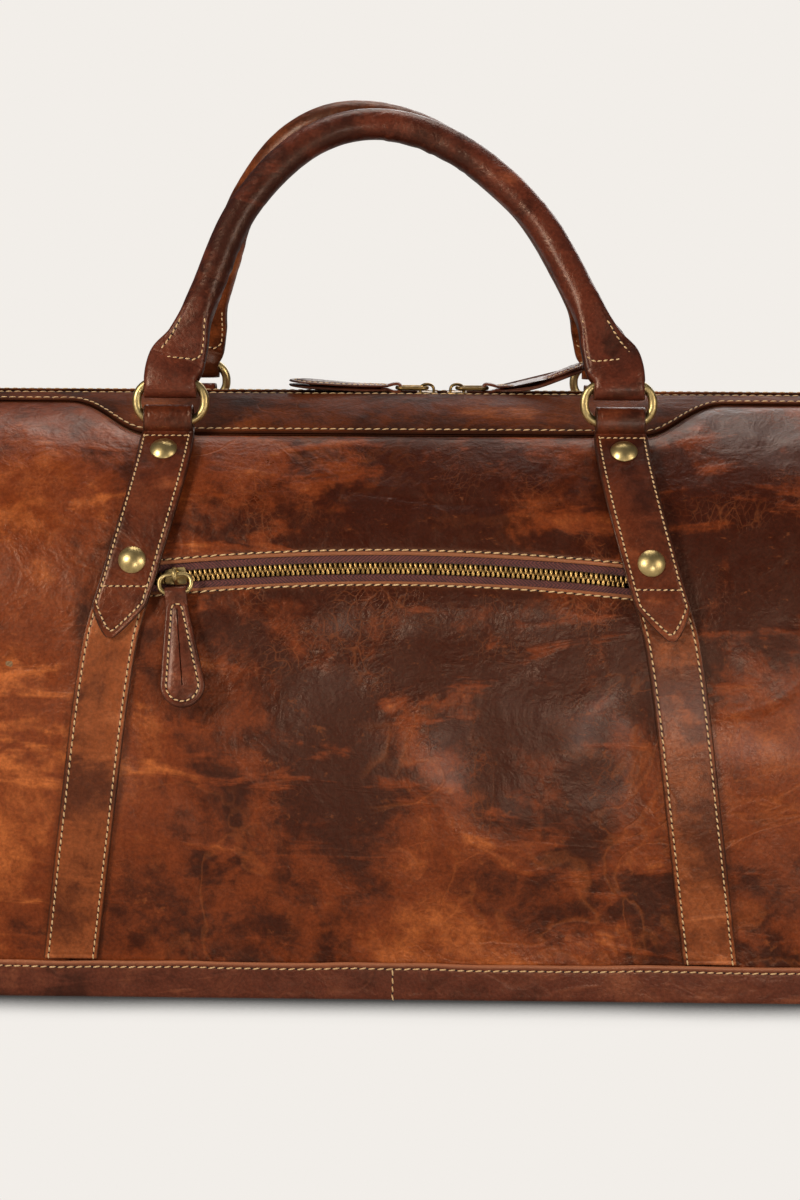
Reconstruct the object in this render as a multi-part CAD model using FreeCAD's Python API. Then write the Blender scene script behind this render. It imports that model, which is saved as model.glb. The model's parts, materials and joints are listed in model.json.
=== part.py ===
import FreeCAD, Part

import math
import os

# Leather weekender bag, modelled as its separate cut panels, straps, zips, rings and handles.
# Millimetres, +Z up, front towards -Y, origin at the middle of the flat base.

Vector = FreeCAD.Vector
X_AXIS = Vector(1, 0, 0)
Y_AXIS = Vector(0, 1, 0)
Z_AXIS = Vector(0, 0, 1)

# ---- driving dimensions -------------------------------------------------------------------
body_height = 297.0        # base to the crest that the main zip runs along
body_depth = 250.0         # widest, a third of the way up
corner_start = 215.0       # where the long faces begin to turn in towards the ends
corner_radius = 60.0
corner_reach = 54.0        # how far past corner_start the panels run
end_drop = 20.0            # the crest is this much lower at the ends
roundness = 4.5            # exponent of the section: larger is boxier
base_inset = 4.5           # the base is this much narrower than the bulge, each side
base_band = 20.0           # height of the base leather that shows
base_gap = 0.5             # between the panels and the inside of the band
bulge_height = 80.0        # the inset fades out over this height

leather = 2.4              # body leather with its backing
cloth = 0.7
pocket_room = 8.0          # depth of the zipped front pocket
seam_gap = 0.3             # left between neighbouring cut edges

strap_width = 27.5
strap_leather = 3.4        # two thicknesses
strip_leather = 2.0
strap_tip_height = 185.4
strap_line = [(0, 164.5), (90, 152.5), (183, 139.7), (219, 129.5), (268, 117.0), (300, 114.3)]
strap_range = (90.0, 200.0)        # every strap and strip lies between these x
strap_point = 17.0                 # length of the strap's pointed tip
tip_bulge = (2.0, -1.4)            # how far its sides bow out and down
strip_top = 267.0                  # the strips end here, under the straps
front_plane = -170.0               # cutting outlines start here, in front of the bag
front_reach = 150.0                # and go back by this much
rivet_heights = (270.8, 221.7)     # where their shanks pass through the body leather
rivet_radius = 6.9
rivet_dome = 3.3
washer_radius = 4.0
washer = 0.3
shank_radius = 1.8
rivet_gap = 0.05
drill_reach = 12.0

seam_height = 281.4        # top seam between the two straps
seam_at_ends = 25.0        # distance of the seam from the crest outside the straps
seam_turn = (128.0, 172.0)  # where the seam swings from one to the other

ring_width = 39.4          # outside
ring_height = 24.6
ring_wire = 2.3            # radius
ring_pivot = Vector(0, -63.0, 288.0)   # lower bar of the front rings
ring_x = 114.3
ring_lean = 8.0            # degrees inwards at rest
loop_slack = 2.0
loop_inner = 4.5
loop_outer = 6.5

handle_rise = 140.5        # ring bar to the middle of the grip at the top
handle_slump = -12.0       # the soft arch leans this far to the left at its top
handle_power = 1.48        # shape of the arch
grip_radius = 8.3
core_radius = 6.0
end_tab_height = 40.0
tab_square = 8.0           # the tab keeps its full width up to here, then flares and narrows
tab_flare = 14.0
tab_range = (80.0, 160.0)  # both handle ends lie between these distances from the middle
handle_lean = {"front": 22.0, "rear": 16.0}

pocket_height = 220.3      # middle of the pocket zip
pocket_sag = 6.4           # its ends are lower by this
pocket_half = 119.0
pocket_opening = 6.8       # half the slit between the leather edges
pocket_slider_x = -107.6

zip_half_length = 252.0
zip_edge = 7.0             # from the middle of the main zip to the edge of the leather
zip_meeting_x = 24.0       # the two main sliders meet here
slider_gap = 16.0
pull_length = 38.0         # between the centres of the pull's two rounded ends
pull_small = 5.6
pull_large = 11.0
pull_leather = 3.6
pull_bend = 22.0           # the right main pull curls up by this angle

# ---- body surface -------------------------------------------------------------------------
half_depth = body_depth / 2
end_x = corner_start + corner_reach


def clamp(value, low=0.0, high=1.0):
    return max(low, min(high, value))


def smooth(start, end, value):
    share = clamp((value - start) / (end - start))
    return share * share * (3 - 2 * share)


def half_depth_at(height):
    """Half the depth of the body at a height above the base."""
    inset = base_inset * (1 - smooth(base_band, base_band + bulge_height, height))
    return (half_depth - inset) * math.sqrt(max(0.0, 1 - (height / body_height) ** roundness))


def make_section(samples=720):
    """The half section as (length from the base edge, depth, height), evenly turned."""
    rows = []
    length = 0.0
    for i in range(samples + 1):
        turn = math.pi / 2 * i / samples
        height = body_height * math.sin(turn) ** (2 / roundness)
        depth = half_depth_at(height) if i < samples else 0.0
        if rows:
            length += math.hypot(depth - rows[-1][1], height - rows[-1][2])
        rows.append((length, depth, height))
    return rows


section = make_section()
section_length = section[-1][0]


def section_point(length):
    """(depth, height) at a length measured up the section from the base edge."""
    low, high = 0, len(section) - 1
    while high - low > 1:
        middle = (low + high) // 2
        if section[middle][0] <= length:
            low = middle
        else:
            high = middle
    a, b = section[low], section[high]
    share = clamp((length - a[0]) / (b[0] - a[0]))
    return a[1] + (b[1] - a[1]) * share, a[2] + (b[2] - a[2]) * share


def length_at(height):
    """Length up the section at which it reaches a height."""
    for a, b in zip(section, section[1:]):
        if b[2] >= height:
            return a[0] + (b[0] - a[0]) * (height - a[2]) / (b[2] - a[2])
    return section_length


def skin_point(x, length, side):
    """Point of the outer surface. side is -1 for the front and 1 for the rear."""
    depth, height = section_point(length)
    turn = math.asin(clamp((abs(x) - corner_start) / corner_radius, 0, 0.999))
    inset = corner_radius * (1 - math.cos(turn))
    drop = end_drop * (1 - math.cos(turn)) / (1 - math.cos(math.asin(corner_reach / corner_radius)))
    depth *= 1 - inset / half_depth
    height *= 1 - drop / body_height
    return Vector(x, side * depth, height)


def skin(x, length, side=-1, lift=0.0):
    """skin_point moved out along the surface's normal by lift."""
    point = skin_point(x, length, side)
    if not lift:
        return point
    step = 0.4
    low = max(0.0, length - step)
    high = min(section_length, length + step)
    along = skin_point(x, high, side) - skin_point(x, low, side)
    across = skin_point(x + step, length, side) - skin_point(x - step, length, side)
    normal = along.cross(across)
    normal.normalize()
    if normal.dot(Vector(0, side, 0.3)) < 0:
        normal = normal * -1
    return point + normal * lift


def strap_x(height):
    """Distance of the strap's middle line from the bag's middle, by height."""
    points = strap_line
    for i in range(len(points) - 1):
        if height <= points[i + 1][0] or i == len(points) - 2:
            break
    h0, x0 = points[i]
    h1, x1 = points[i + 1]

    def slope(k):
        a = points[max(0, k - 1)]
        b = points[min(len(points) - 1, k + 1)]
        return (b[1] - a[1]) / (b[0] - a[0])

    t = clamp((height - h0) / (h1 - h0))
    span = h1 - h0
    return ((2 * t ** 3 - 3 * t ** 2 + 1) * x0 + (t ** 3 - 2 * t ** 2 + t) * span * slope(i)
            + (3 * t ** 2 - 2 * t ** 3) * x1 + (t ** 3 - t ** 2) * span * slope(i + 1))


seam_mid = section_length - length_at(seam_height)


def seam_length(x):
    """Length up the section of the top seam."""
    share = smooth(seam_turn[0], seam_turn[1], abs(x))
    return section_length - (seam_mid + (seam_at_ends - seam_mid) * share)


pocket_length = length_at(pocket_height)


def pocket_zip_length(x):
    """Length up the section of the pocket zip's middle line."""
    return pocket_length - pocket_sag * (x / pocket_half) ** 2


# ---- solid builders -----------------------------------------------------------------------
def closed_solid(faces):
    shell = Part.makeShell(faces)
    shell.sewShape()
    solid = Part.makeSolid(shell)
    if solid.Volume < 0:
        solid.reverse()
    return solid


def sheet(left, right, low, high, outer, inner, side=-1, across=8, up=9):
    """A sewn panel between two lifts of the body surface.

    left and right give x by length up the section; low and high give that length by x.
    """
    surfaces = []
    for lift in (outer, inner):
        grid = []
        for i in range(across):
            row = []
            for j in range(up):
                guess = low(0) + (high(0) - low(0)) * j / (up - 1)
                x = left(guess) + (right(guess) - left(guess)) * i / (across - 1)
                length = low(x) + (high(x) - low(x)) * j / (up - 1)
                row.append(skin(x, length, side, lift))
            grid.append(row)
        surface = Part.BSplineSurface()
        surface.interpolate(grid)
        surfaces.append(surface)
    u0, u1, v0, v1 = surfaces[0].bounds()
    faces = [s.toShape() for s in surfaces]
    for picker, value in (("uIso", u0), ("uIso", u1), ("vIso", v0), ("vIso", v1)):
        edges = [getattr(s, picker)(value).toShape() for s in surfaces]
        faces.append(Part.makeRuledSurface(edges[0], edges[1]))
    return closed_solid(faces)


def spline(points):
    curve = Part.BSplineCurve()
    curve.interpolate(points)
    return curve.toShape()


def prism(edges, direction):
    return Part.Face(Part.Wire(Part.__sortEdges__(edges))).extrude(direction)


def section_slab(low, high, outer, inner, x0, x1, points=12):
    """The region between two lifts of the middle section, extruded along X at the front."""
    def curve(lift):
        return [skin(0, low + (high - low) * i / (points - 1), -1, lift) for i in range(points)]
    outside = curve(outer)
    inside = curve(inner)
    edges = [spline(outside), Part.LineSegment(outside[-1], inside[-1]).toShape(),
             spline(inside), Part.LineSegment(inside[0], outside[0]).toShape()]
    slab = prism(edges, X_AXIS * (x1 - x0))
    slab.translate(X_AXIS * x0)
    return slab


def outline_prism(bottom, top, width, pointed, side_points=7):
    """Front outline of a strap or strip on the right, extruded back through the front face."""
    start = bottom + (strap_point if pointed else 0.0)
    heights = [start + (top - start) * i / (side_points - 1) for i in range(side_points)]
    left = [Vector(strap_x(h) - width / 2, front_plane, h) for h in heights]
    right = [Vector(strap_x(h) + width / 2, front_plane, h) for h in heights]
    edges = [spline(left), spline(right), Part.LineSegment(left[-1], right[-1]).toShape()]
    if pointed:
        tip = Vector(strap_x(bottom), front_plane, bottom)
        for corner, way in ((left[0], -1), (right[0], 1)):
            middle = (corner + tip) * 0.5 + Vector(way * tip_bulge[0], 0, tip_bulge[1])
            edges.append(Part.Arc(corner, middle, tip).toShape())
    else:
        edges.append(Part.LineSegment(left[0], right[0]).toShape())
    return prism(edges, Y_AXIS * front_reach)


def stadium_prism(centre, radius, stretch, x0, x1):
    """A slot shape in the YZ plane, stretched upwards from its centre, extruded along X."""
    low = Vector(x0, centre.y, centre.z)
    high = low + Z_AXIS * stretch
    side = Y_AXIS * radius
    edges = [Part.LineSegment(low + side, high + side).toShape(),
             Part.Arc(high + side, high + Z_AXIS * radius, high - side).toShape(),
             Part.LineSegment(high - side, low - side).toShape(),
             Part.Arc(low - side, low - Z_AXIS * radius, low + side).toShape()]
    return prism(edges, X_AXIS * (x1 - x0))


def ring(width, height, corner, wire):
    """A wire ring in the XZ plane. Its lower bar lies on the X axis; sizes are to the wire's middle."""
    half = width / 2
    corners = [(half, 0, -90), (half, height, 0), (-half, height, 90), (-half, 0, 180)]
    edges = []
    for x, z, start in corners:
        centre = Vector(x - math.copysign(corner, x), 0, corner if z == 0 else height - corner)
        angles = [math.radians(start + k * 45) for k in range(3)]
        points = [centre + Vector(math.cos(a), 0, math.sin(a)) * corner for a in angles]
        if edges:
            last = edges[-1].Vertexes[-1].Point
            if last.distanceToPoint(points[0]) > 1e-6:
                edges.append(Part.LineSegment(last, points[0]).toShape())
        else:
            first = points[0]
        edges.append(Part.Arc(*points).toShape())
    edges.append(Part.LineSegment(edges[-1].Vertexes[-1].Point, first).toShape())
    path = Part.Wire(edges)
    circle = Part.Wire(Part.Circle(first, X_AXIS, wire).toShape())
    return path.makePipeShell([circle], True, True)


def mirrored(shape, axis):
    return shape.mirror(Vector(0, 0, 0), axis)


def write(name, *shapes):
    shape = shapes[0] if len(shapes) == 1 else Part.makeCompound(list(shapes))
    shape.exportStep("parts/" + name + ".step")
    solids = shape.Solids
    flags = "" if all(s.isValid() for s in solids) else "  NOT VALID"
    print(f"{name:28s} solids {len(solids):3d}  volume {sum(s.Volume for s in solids):10.1f}{flags}")


# ---- body panels --------------------------------------------------------------------------
def panel_edge(length):
    """x of the seam that the strips cover, by length up the section."""
    return strap_x(section_point(length)[1])


def centre_panel(low, high, side):
    half_gap = seam_gap / 2
    return sheet(lambda s: -panel_edge(s) + half_gap, lambda s: panel_edge(s) - half_gap,
                 low, high, 0.0, -leather, side, across=9, up=18)


def wing(side):
    """The right-hand wing of the front or the rear."""
    return sheet(lambda s: panel_edge(s) + seam_gap / 2, lambda s: end_x - seam_gap,
                 lambda x: leather + seam_gap, lambda x: seam_length(x) - seam_gap / 2,
                 0.0, -leather, side, across=26, up=18)


def top_band(side):
    reach = end_x - seam_gap
    return sheet(lambda s: -reach, lambda s: reach,
                 lambda x: seam_length(x) + seam_gap, lambda x: section_length - zip_edge,
                 1.0, -1.2, side, across=61, up=6)


def end_panel():
    """Flat gusset that closes the right-hand end, inside the edges of the wings."""
    bottom = leather + seam_gap
    lengths = [bottom + (section_length - bottom) * i / 15 for i in range(16)]
    front = [skin(end_x + leather, s, -1) for s in lengths]
    rear = [skin(end_x + leather, s, 1) for s in reversed(lengths)]
    edges = [spline(front + rear[1:]), Part.LineSegment(front[0], rear[-1]).toShape()]
    gusset = prism(edges, X_AXIS * leather)
    gusset.translate(X_AXIS * -leather)
    return gusset


def base_outline(offset, z):
    """Plan of the base, grown by offset."""
    depth = half_depth_at(base_band)
    reach = end_x + leather + offset
    turn = math.asin((reach - corner_start) / (corner_radius + offset))
    edges = []
    ends = []
    for way in (-1, 1):
        front = []
        for k in range(7):
            angle = turn * k / 6
            inset = corner_radius * (1 - math.cos(angle))
            y = -depth * (1 - inset / half_depth) - offset * math.cos(angle)
            front.append(Vector(way * (corner_start + (corner_radius + offset) * math.sin(angle)), y, z))
        rear = [Vector(p.x, -p.y, z) for p in front]
        edges += [spline(front), spline(rear), Part.LineSegment(front[-1], rear[-1]).toShape()]
        ends.append((front[0], rear[0]))
    edges += [Part.LineSegment(ends[0][k], ends[1][k]).toShape() for k in (0, 1)]
    return edges


def base_plate(offset, low, high):
    return prism(base_outline(offset, low), Z_AXIS * (high - low))


def base_panel():
    """The base leather with its turned-up band."""
    tray = base_plate(base_gap + 2.0, 0.0, base_band)
    return tray.cut(base_plate(base_gap, leather, base_band + 1))


def lining():
    """Cloth walls and floor inside the panels. The front wall stands behind the pocket."""
    floor = 2 * leather + 1.6
    outer = -leather - 0.9
    inner = outer - cloth
    pocket_wall = -leather - pocket_room - cloth - 2 * seam_gap
    top = section_length - 24
    walls = [base_plate(-5.0, floor - cloth, floor)]
    walls.append(sheet(lambda s: -panel_edge(s) + 6, lambda s: panel_edge(s) - 6, lambda x: floor + 1,
                       lambda x: length_at(seam_height) - 8, pocket_wall, pocket_wall - cloth, -1))
    for side in (-1, 1):
        side_wall = sheet(lambda s: panel_edge(s) + 2, lambda s: end_x - 6, lambda x: floor + 1,
                          lambda x: top, outer, inner, side, across=24, up=16)
        walls += [side_wall, mirrored(side_wall, X_AXIS)]
    walls.append(sheet(lambda s: -panel_edge(s) - 1, lambda s: panel_edge(s) + 1, lambda x: floor + 1,
                       lambda x: length_at(seam_height) - 8, outer, inner, 1))
    return walls


def pocket_lining():
    """Rear wall of the zipped front pocket."""
    return sheet(lambda s: -panel_edge(s) + 12, lambda s: panel_edge(s) - 12, lambda x: 30.0,
                 lambda x: pocket_zip_length(x) + 8, -leather - pocket_room,
                 -leather - pocket_room - cloth, -1)


# ---- straps, strips and rivets --------------------------------------------------------------
strip_lift = (seam_gap, seam_gap + strip_leather)
strap_lift = (strip_lift[1] + 0.3, strip_lift[1] + 0.3 + strap_leather)


def strip():
    """Flat strip over the front right seam, between the base band and the strap."""
    foot = base_band + base_gap
    slab = section_slab(length_at(foot), length_at(strip_top), strip_lift[1], strip_lift[0], *strap_range)
    return slab.common(outline_prism(foot, strip_top, strap_width, pointed=False))


def strap():
    """Front right handle strap, with the loop that holds the ring."""
    low = length_at(strap_tip_height) - 2
    slab = section_slab(low, length_at(seam_height) - 1, strap_lift[1], strap_lift[0], *strap_range)
    body = slab.fuse(stadium_prism(ring_pivot, loop_outer, loop_slack, *strap_range))
    crown = ring_pivot.z + loop_slack + 2 * loop_outer
    body = body.common(outline_prism(strap_tip_height, crown, strap_width, pointed=True))
    slot = stadium_prism(ring_pivot, loop_inner, loop_slack, *strap_range)
    return body.cut(slot).removeSplitter()


def on_rivet(shape, height):
    """Moves a shape from the origin, standing along Z, to a rivet of the front right strap."""
    length = length_at(height)
    foot = skin(strap_x(height), length, -1, 0)
    normal = skin(strap_x(height), length, -1, 1) - foot
    shape.Placement = FreeCAD.Placement(foot, FreeCAD.Rotation(Z_AXIS, normal))
    return shape


def drilled(shape, side=-1, ways=(1,)):
    """Cuts the rivet holes on the right, the left or both."""
    for height in rivet_heights:
        for way in ways:
            hole = Part.makeCylinder(shank_radius + rivet_gap, 2 * drill_reach, Vector(0, 0, -drill_reach))
            hole = on_rivet(hole, height)
            hole = hole if way > 0 else mirrored(hole, X_AXIS)
            shape = shape.cut(hole if side < 0 else mirrored(hole, Y_AXIS))
    return shape


def rivet(height):
    """Domed rivet through strap, strip and panel, with its washer inside."""
    top = strap_lift[1] + rivet_gap
    foot = Vector(0, 0, -leather - washer - 4 * rivet_gap)
    sphere_radius = (rivet_radius ** 2 + rivet_dome ** 2) / (2 * rivet_dome)
    dome = Part.makeSphere(sphere_radius, Vector(0, 0, top + rivet_dome - sphere_radius))
    dome = dome.common(Part.makeCylinder(rivet_radius + 1, rivet_dome + 1, Vector(0, 0, top)))
    shank = Part.makeCylinder(shank_radius, top - foot.z + 0.5, foot)
    disc = Part.makeCylinder(washer_radius, washer, foot)
    return on_rivet(dome.fuse([shank, disc]).removeSplitter(), height)


# ---- rings and handles ----------------------------------------------------------------------
ring_pitch = ring_height - 2 * ring_wire


def place_on_ring(shape, lean, side, raised):
    """Leans a shape inwards about the X axis and sets it on the ring pivot line."""
    inward = -side
    shape.rotate(Vector(0, 0, 0), X_AXIS, -lean * inward)
    base = Vector(0, side * abs(ring_pivot.y), ring_pivot.z)
    if raised:
        lean_ring = math.radians(ring_lean)
        base += Vector(0, inward * math.sin(lean_ring), math.cos(lean_ring)) * ring_pitch
    shape.translate(base)
    return shape


def oval_ring(x, side):
    shape = ring(ring_width - 2 * ring_wire, ring_pitch, ring_pitch / 2 - 0.5, ring_wire)
    shape.translate(X_AXIS * x)
    return place_on_ring(shape, ring_lean, side, raised=False)


def arch_point(turn):
    """Middle line of a handle in its own plane, turn from 0 to pi."""
    share = math.sin(turn) ** handle_power
    return Vector(ring_x * math.cos(turn) + handle_slump * share ** 2, 0, handle_rise * share)


def arch_turn(rise):
    return math.asin((rise / handle_rise) ** (1 / handle_power))


def rolled(radius, points=19):
    """A round bar along the arch between the two end tabs."""
    start = arch_turn(end_tab_height + 0.3)
    turns = [start + (math.pi - 2 * start) * i / (points - 1) for i in range(points)]
    path = Part.Wire(spline([arch_point(t) for t in turns]))
    tangent = path.Edges[0].tangentAt(path.Edges[0].FirstParameter)
    circle = Part.Wire(Part.Circle(arch_point(start), tangent, radius).toShape())
    return path.makePipeShell([circle], True, True)


def grip(side):
    tube = rolled(grip_radius).cut(rolled(core_radius + 0.1))
    return place_on_ring(tube, handle_lean[side_name(side)], side, raised=True)


def core(side):
    return place_on_ring(rolled(core_radius), handle_lean[side_name(side)], side, raised=True)


def end_tab(way, side):
    """Flattened handle end, folded round the upper bar of its ring."""
    turn = arch_turn(end_tab_height)
    top = arch_point(turn if way > 0 else math.pi - turn)
    top.x = abs(top.x)
    reach = strap_width / 2 - 0.4
    neck = grip_radius + 0.6
    low = Vector(0, 0, -loop_slack)
    outline = [Vector(ring_x - reach, 0, -2 * loop_outer), Vector(ring_x + reach, 0, -2 * loop_outer),
               Vector(ring_x + reach, 0, tab_square), Vector(ring_x + reach + 0.5, 0, tab_flare),
               Vector(top.x + neck, 0, top.z), Vector(top.x - neck, 0, top.z),
               Vector(ring_x - reach - 3, 0, tab_flare + 4), Vector(ring_x - reach, 0, tab_square)]
    edges = [Part.LineSegment(a, b).toShape() for a, b in zip(outline, outline[1:] + outline[:1])]
    front = prism(edges, Y_AXIS * 4 * loop_outer)
    front.translate(Y_AXIS * -2 * loop_outer)
    loop = stadium_prism(low, loop_outer, loop_slack, *tab_range)
    wedge_x = tab_range[0]
    wedge_points = [Vector(wedge_x, loop_outer, 0), Vector(wedge_x, -loop_outer, 0),
                    Vector(wedge_x, -grip_radius + 1, top.z), Vector(wedge_x, grip_radius - 1, top.z)]
    wedge_edges = [Part.LineSegment(a, b).toShape()
                   for a, b in zip(wedge_points, wedge_points[1:] + wedge_points[:1])]
    shape = loop.fuse(prism(wedge_edges, X_AXIS * (tab_range[1] - wedge_x))).common(front)
    shape = shape.cut(stadium_prism(low, loop_inner, loop_slack, *tab_range))
    if way < 0:
        shape = mirrored(shape, X_AXIS)
    shape = shape.cut(rolled(grip_radius + 0.15)).removeSplitter()
    return place_on_ring(shape, handle_lean[side_name(side)], side, raised=True)


def side_name(side):
    return "front" if side < 0 else "rear"


# ---- zips -----------------------------------------------------------------------------------
tooth_half = 3.0
tooth_gap = 0.7
chain_half = 1.3           # half the thickness of the teeth
tape_half = 0.35
main_zip_lift = -1.85      # middle of the main chain below the crest
pocket_zip_lift = -3.4
plate_gap = chain_half + 0.3
plate = 1.2
slider_length = 11.0
slider_half = 4.5
main_pin = plate_gap + plate + 2.1     # height of the link's pivot above the chain's middle
pocket_pin = plate_gap + plate + 4.5   # higher, because this zip is sunk below the leather
link_wire = 0.9
link_long = 16.0
link_short = 9.0


def main_tape(side):
    reach = zip_half_length + 8
    return sheet(lambda s: -reach, lambda s: reach, lambda x: section_length - 19.0,
                 lambda x: section_length - tooth_half - 0.1,
                 main_zip_lift + tape_half, main_zip_lift - tape_half, side, across=31, up=4)


def main_teeth(side):
    return sheet(lambda s: -zip_half_length, lambda s: zip_half_length,
                 lambda x: section_length - tooth_half, lambda x: section_length - tooth_gap,
                 main_zip_lift + chain_half, main_zip_lift - chain_half, side, across=31, up=3)


def slider(pin, across):
    """Zip slider round the local X axis. Its bridge runs along X, or across it."""
    half = slider_length / 2
    bodies = []
    for way in (-1, 1):
        low = plate_gap if way > 0 else -plate_gap - plate
        bodies.append(Part.makeBox(slider_length, 2 * slider_half, plate, Vector(-half, -slider_half, low)))
        lip = plate_gap - 0.55
        base = 0.55 if way > 0 else -plate_gap
        for y in (-slider_half, slider_half - 1.2):
            bodies.append(Part.makeBox(slider_length, 1.2, lip, Vector(-half, y, base)))
    bodies.append(Part.makeBox(2.0, 0.8, 2 * plate_gap, Vector(half - 2.0, -0.4, -plate_gap)))
    foot = plate_gap + plate
    crown = pin + 2.5
    hole = Part.makeBox(6.0, 4.0, crown - 1.2 - foot, Vector(-3.0, -2.0, foot))
    bridge = Part.makeBox(8.4, 2.6, crown - foot, Vector(-4.2, -1.3, foot))
    bridge = bridge.makeFillet(1.2, [e for e in bridge.Edges if e.BoundBox.ZMin > crown - 0.1
                                     and e.BoundBox.XLength < 0.01])
    bridge = bridge.cut(hole)
    if across:
        bridge.rotate(Vector(0, 0, 0), Z_AXIS, 90)
    return bodies[0].fuse(bodies[1:] + [bridge]).removeSplitter()


def main_link():
    """Oval link lying from the bridge towards -X."""
    shape = ring(link_short, link_long, 3.0, link_wire)
    shape.rotate(Vector(0, 0, 0), X_AXIS, 90)
    shape.rotate(Vector(0, 0, 0), Z_AXIS, 90)
    if shape.BoundBox.XMax > link_long / 2:
        shape.rotate(Vector(0, 0, 0), Z_AXIS, 180)
    shape.translate(Z_AXIS * main_pin)
    return shape


def pull(neck, bend=0.0):
    """Pear-shaped leather pull that runs towards -X from a bar through the origin along Y."""
    start = -(pull_small + 3.2)
    large = start - pull_length
    reach = pull_leather
    small_disc = Part.makeCylinder(pull_small, 60, Vector(start, 0, -30))
    large_disc = Part.makeCylinder(pull_large, 60, Vector(large, 0, -30))
    slope = math.asin((pull_large - pull_small) / pull_length)
    corners = []
    for way in (1, -1):
        normal = Vector(math.sin(slope), way * math.cos(slope), 0)
        pair = [Vector(start, 0, -30) + normal * pull_small, Vector(large, 0, -30) + normal * pull_large]
        corners += pair if way > 0 else pair[::-1]
    corners = [Vector(2 * (start if k in (0, 3) else large) - c.x, c.y, c.z) for k, c in enumerate(corners)]
    edges = [Part.LineSegment(a, b).toShape() for a, b in zip(corners, corners[1:] + corners[:1])]
    pear = small_disc.fuse([large_disc, prism(edges, Z_AXIS * 60)])
    hinge_x = start - 7
    flat = Part.makeBox(abs(hinge_x) + 1, 30, reach, Vector(hinge_x, -15, -reach / 2))
    tail = Part.makeBox(70, 30, reach, Vector(hinge_x - 69.4, -15, -reach / 2))
    tail.rotate(Vector(hinge_x, 0, 0), Y_AXIS, bend)
    slab = flat.fuse(tail)
    eye = Part.makeCylinder(2.9, neck, Vector(0, -neck / 2, 0), Y_AXIS)
    tongue = Part.makeBox(abs(start), neck, reach, Vector(start, -neck / 2, -reach / 2))
    shape = pear.common(slab).fuse([eye, tongue])
    hole = Part.makeCylinder(link_wire + 0.6, neck + 2, Vector(0, -neck / 2 - 1, 0), Y_AXIS)
    return shape.cut(hole).removeSplitter()


def main_slider_set(way):
    """Slider, link and pull of one main slider; way is -1 for the left one."""
    centre = Vector(zip_meeting_x + way * slider_gap / 2, 0, body_height + main_zip_lift)
    shapes = []
    body = slider(main_pin, across=False)
    link = main_link()
    tab = pull(neck=5.4, bend=pull_bend if way > 0 else 0.0)
    tab.translate(Vector(-link_long, 0, main_pin))
    for shape in (body, link, tab):
        placed = shape if way < 0 else mirrored(shape, X_AXIS)
        placed.translate(centre)
        shapes.append(placed)
    return shapes


# the pocket zip lies in the plane that touches the body half way down its sag
plane_length = pocket_length - pocket_sag / 2
plane_point = skin(0, plane_length)
plane_normal = skin(0, plane_length, -1, 1) - plane_point
plane_up = plane_normal.cross(X_AXIS)
pocket_radius = (pocket_half ** 2 + pocket_sag ** 2) / (2 * pocket_sag)
pocket_apex = plane_point + plane_up * (pocket_sag / 2) + plane_normal * pocket_zip_lift
pocket_centre = pocket_apex - plane_up * pocket_radius
pocket_turn = math.degrees(math.asin(-pocket_slider_x / pocket_radius))


def to_pocket_plane(shape, turn=0.0):
    """Moves a shape from local axes (travel, up, out) to the pocket zip, turned along its arc."""
    tilt = math.degrees(math.atan2(-plane_normal.y, plane_normal.z))
    shape.rotate(Vector(0, 0, 0), X_AXIS, tilt)
    shape.translate(pocket_apex)
    shape.rotate(pocket_centre, plane_normal, turn)
    return shape


def arc_bar(low, high, half_thickness, reach):
    """Curved bar between two distances from the pocket zip's middle line."""
    thickness = 2 * half_thickness
    angle = math.degrees(math.asin(reach / pocket_radius))
    big = Part.makeCylinder(pocket_radius + high, thickness, Vector(0, 0, 0), Z_AXIS, 2 * angle)
    small = Part.makeCylinder(pocket_radius + low, thickness, Vector(0, 0, 0), Z_AXIS, 2 * angle)
    bar = big.cut(small)
    bar.rotate(Vector(0, 0, 0), Z_AXIS, 90 - angle)
    bar.translate(Vector(0, -pocket_radius, -half_thickness))
    return to_pocket_plane(bar)


def pocket_slider_set():
    body = slider(pocket_pin, across=True)
    link = ring(link_long, link_short, 3.0, link_wire)
    link.rotate(Vector(0, 0, 0), X_AXIS, 90)
    link.translate(Z_AXIS * pocket_pin)
    tab = pull(neck=11.0)
    tab.rotate(Vector(0, 0, 0), Z_AXIS, 90)
    tab.translate(Vector(0, -link_short, pocket_pin))
    return [to_pocket_plane(shape, pocket_turn) for shape in (body, link, tab)]


# ---- end tabs and shoulder-strap rings ------------------------------------------------------
d_wire = 2.0
d_width = 36.0
d_corner = 3.0
ring_tab_width = 24.0
ring_tab_leather = 2.4
tab_foot = 217.0
end_outer = end_x + leather
d_pivot = Vector(end_outer + 0.4 + ring_tab_leather + d_wire + 0.7, 0, 239.0)


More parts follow.
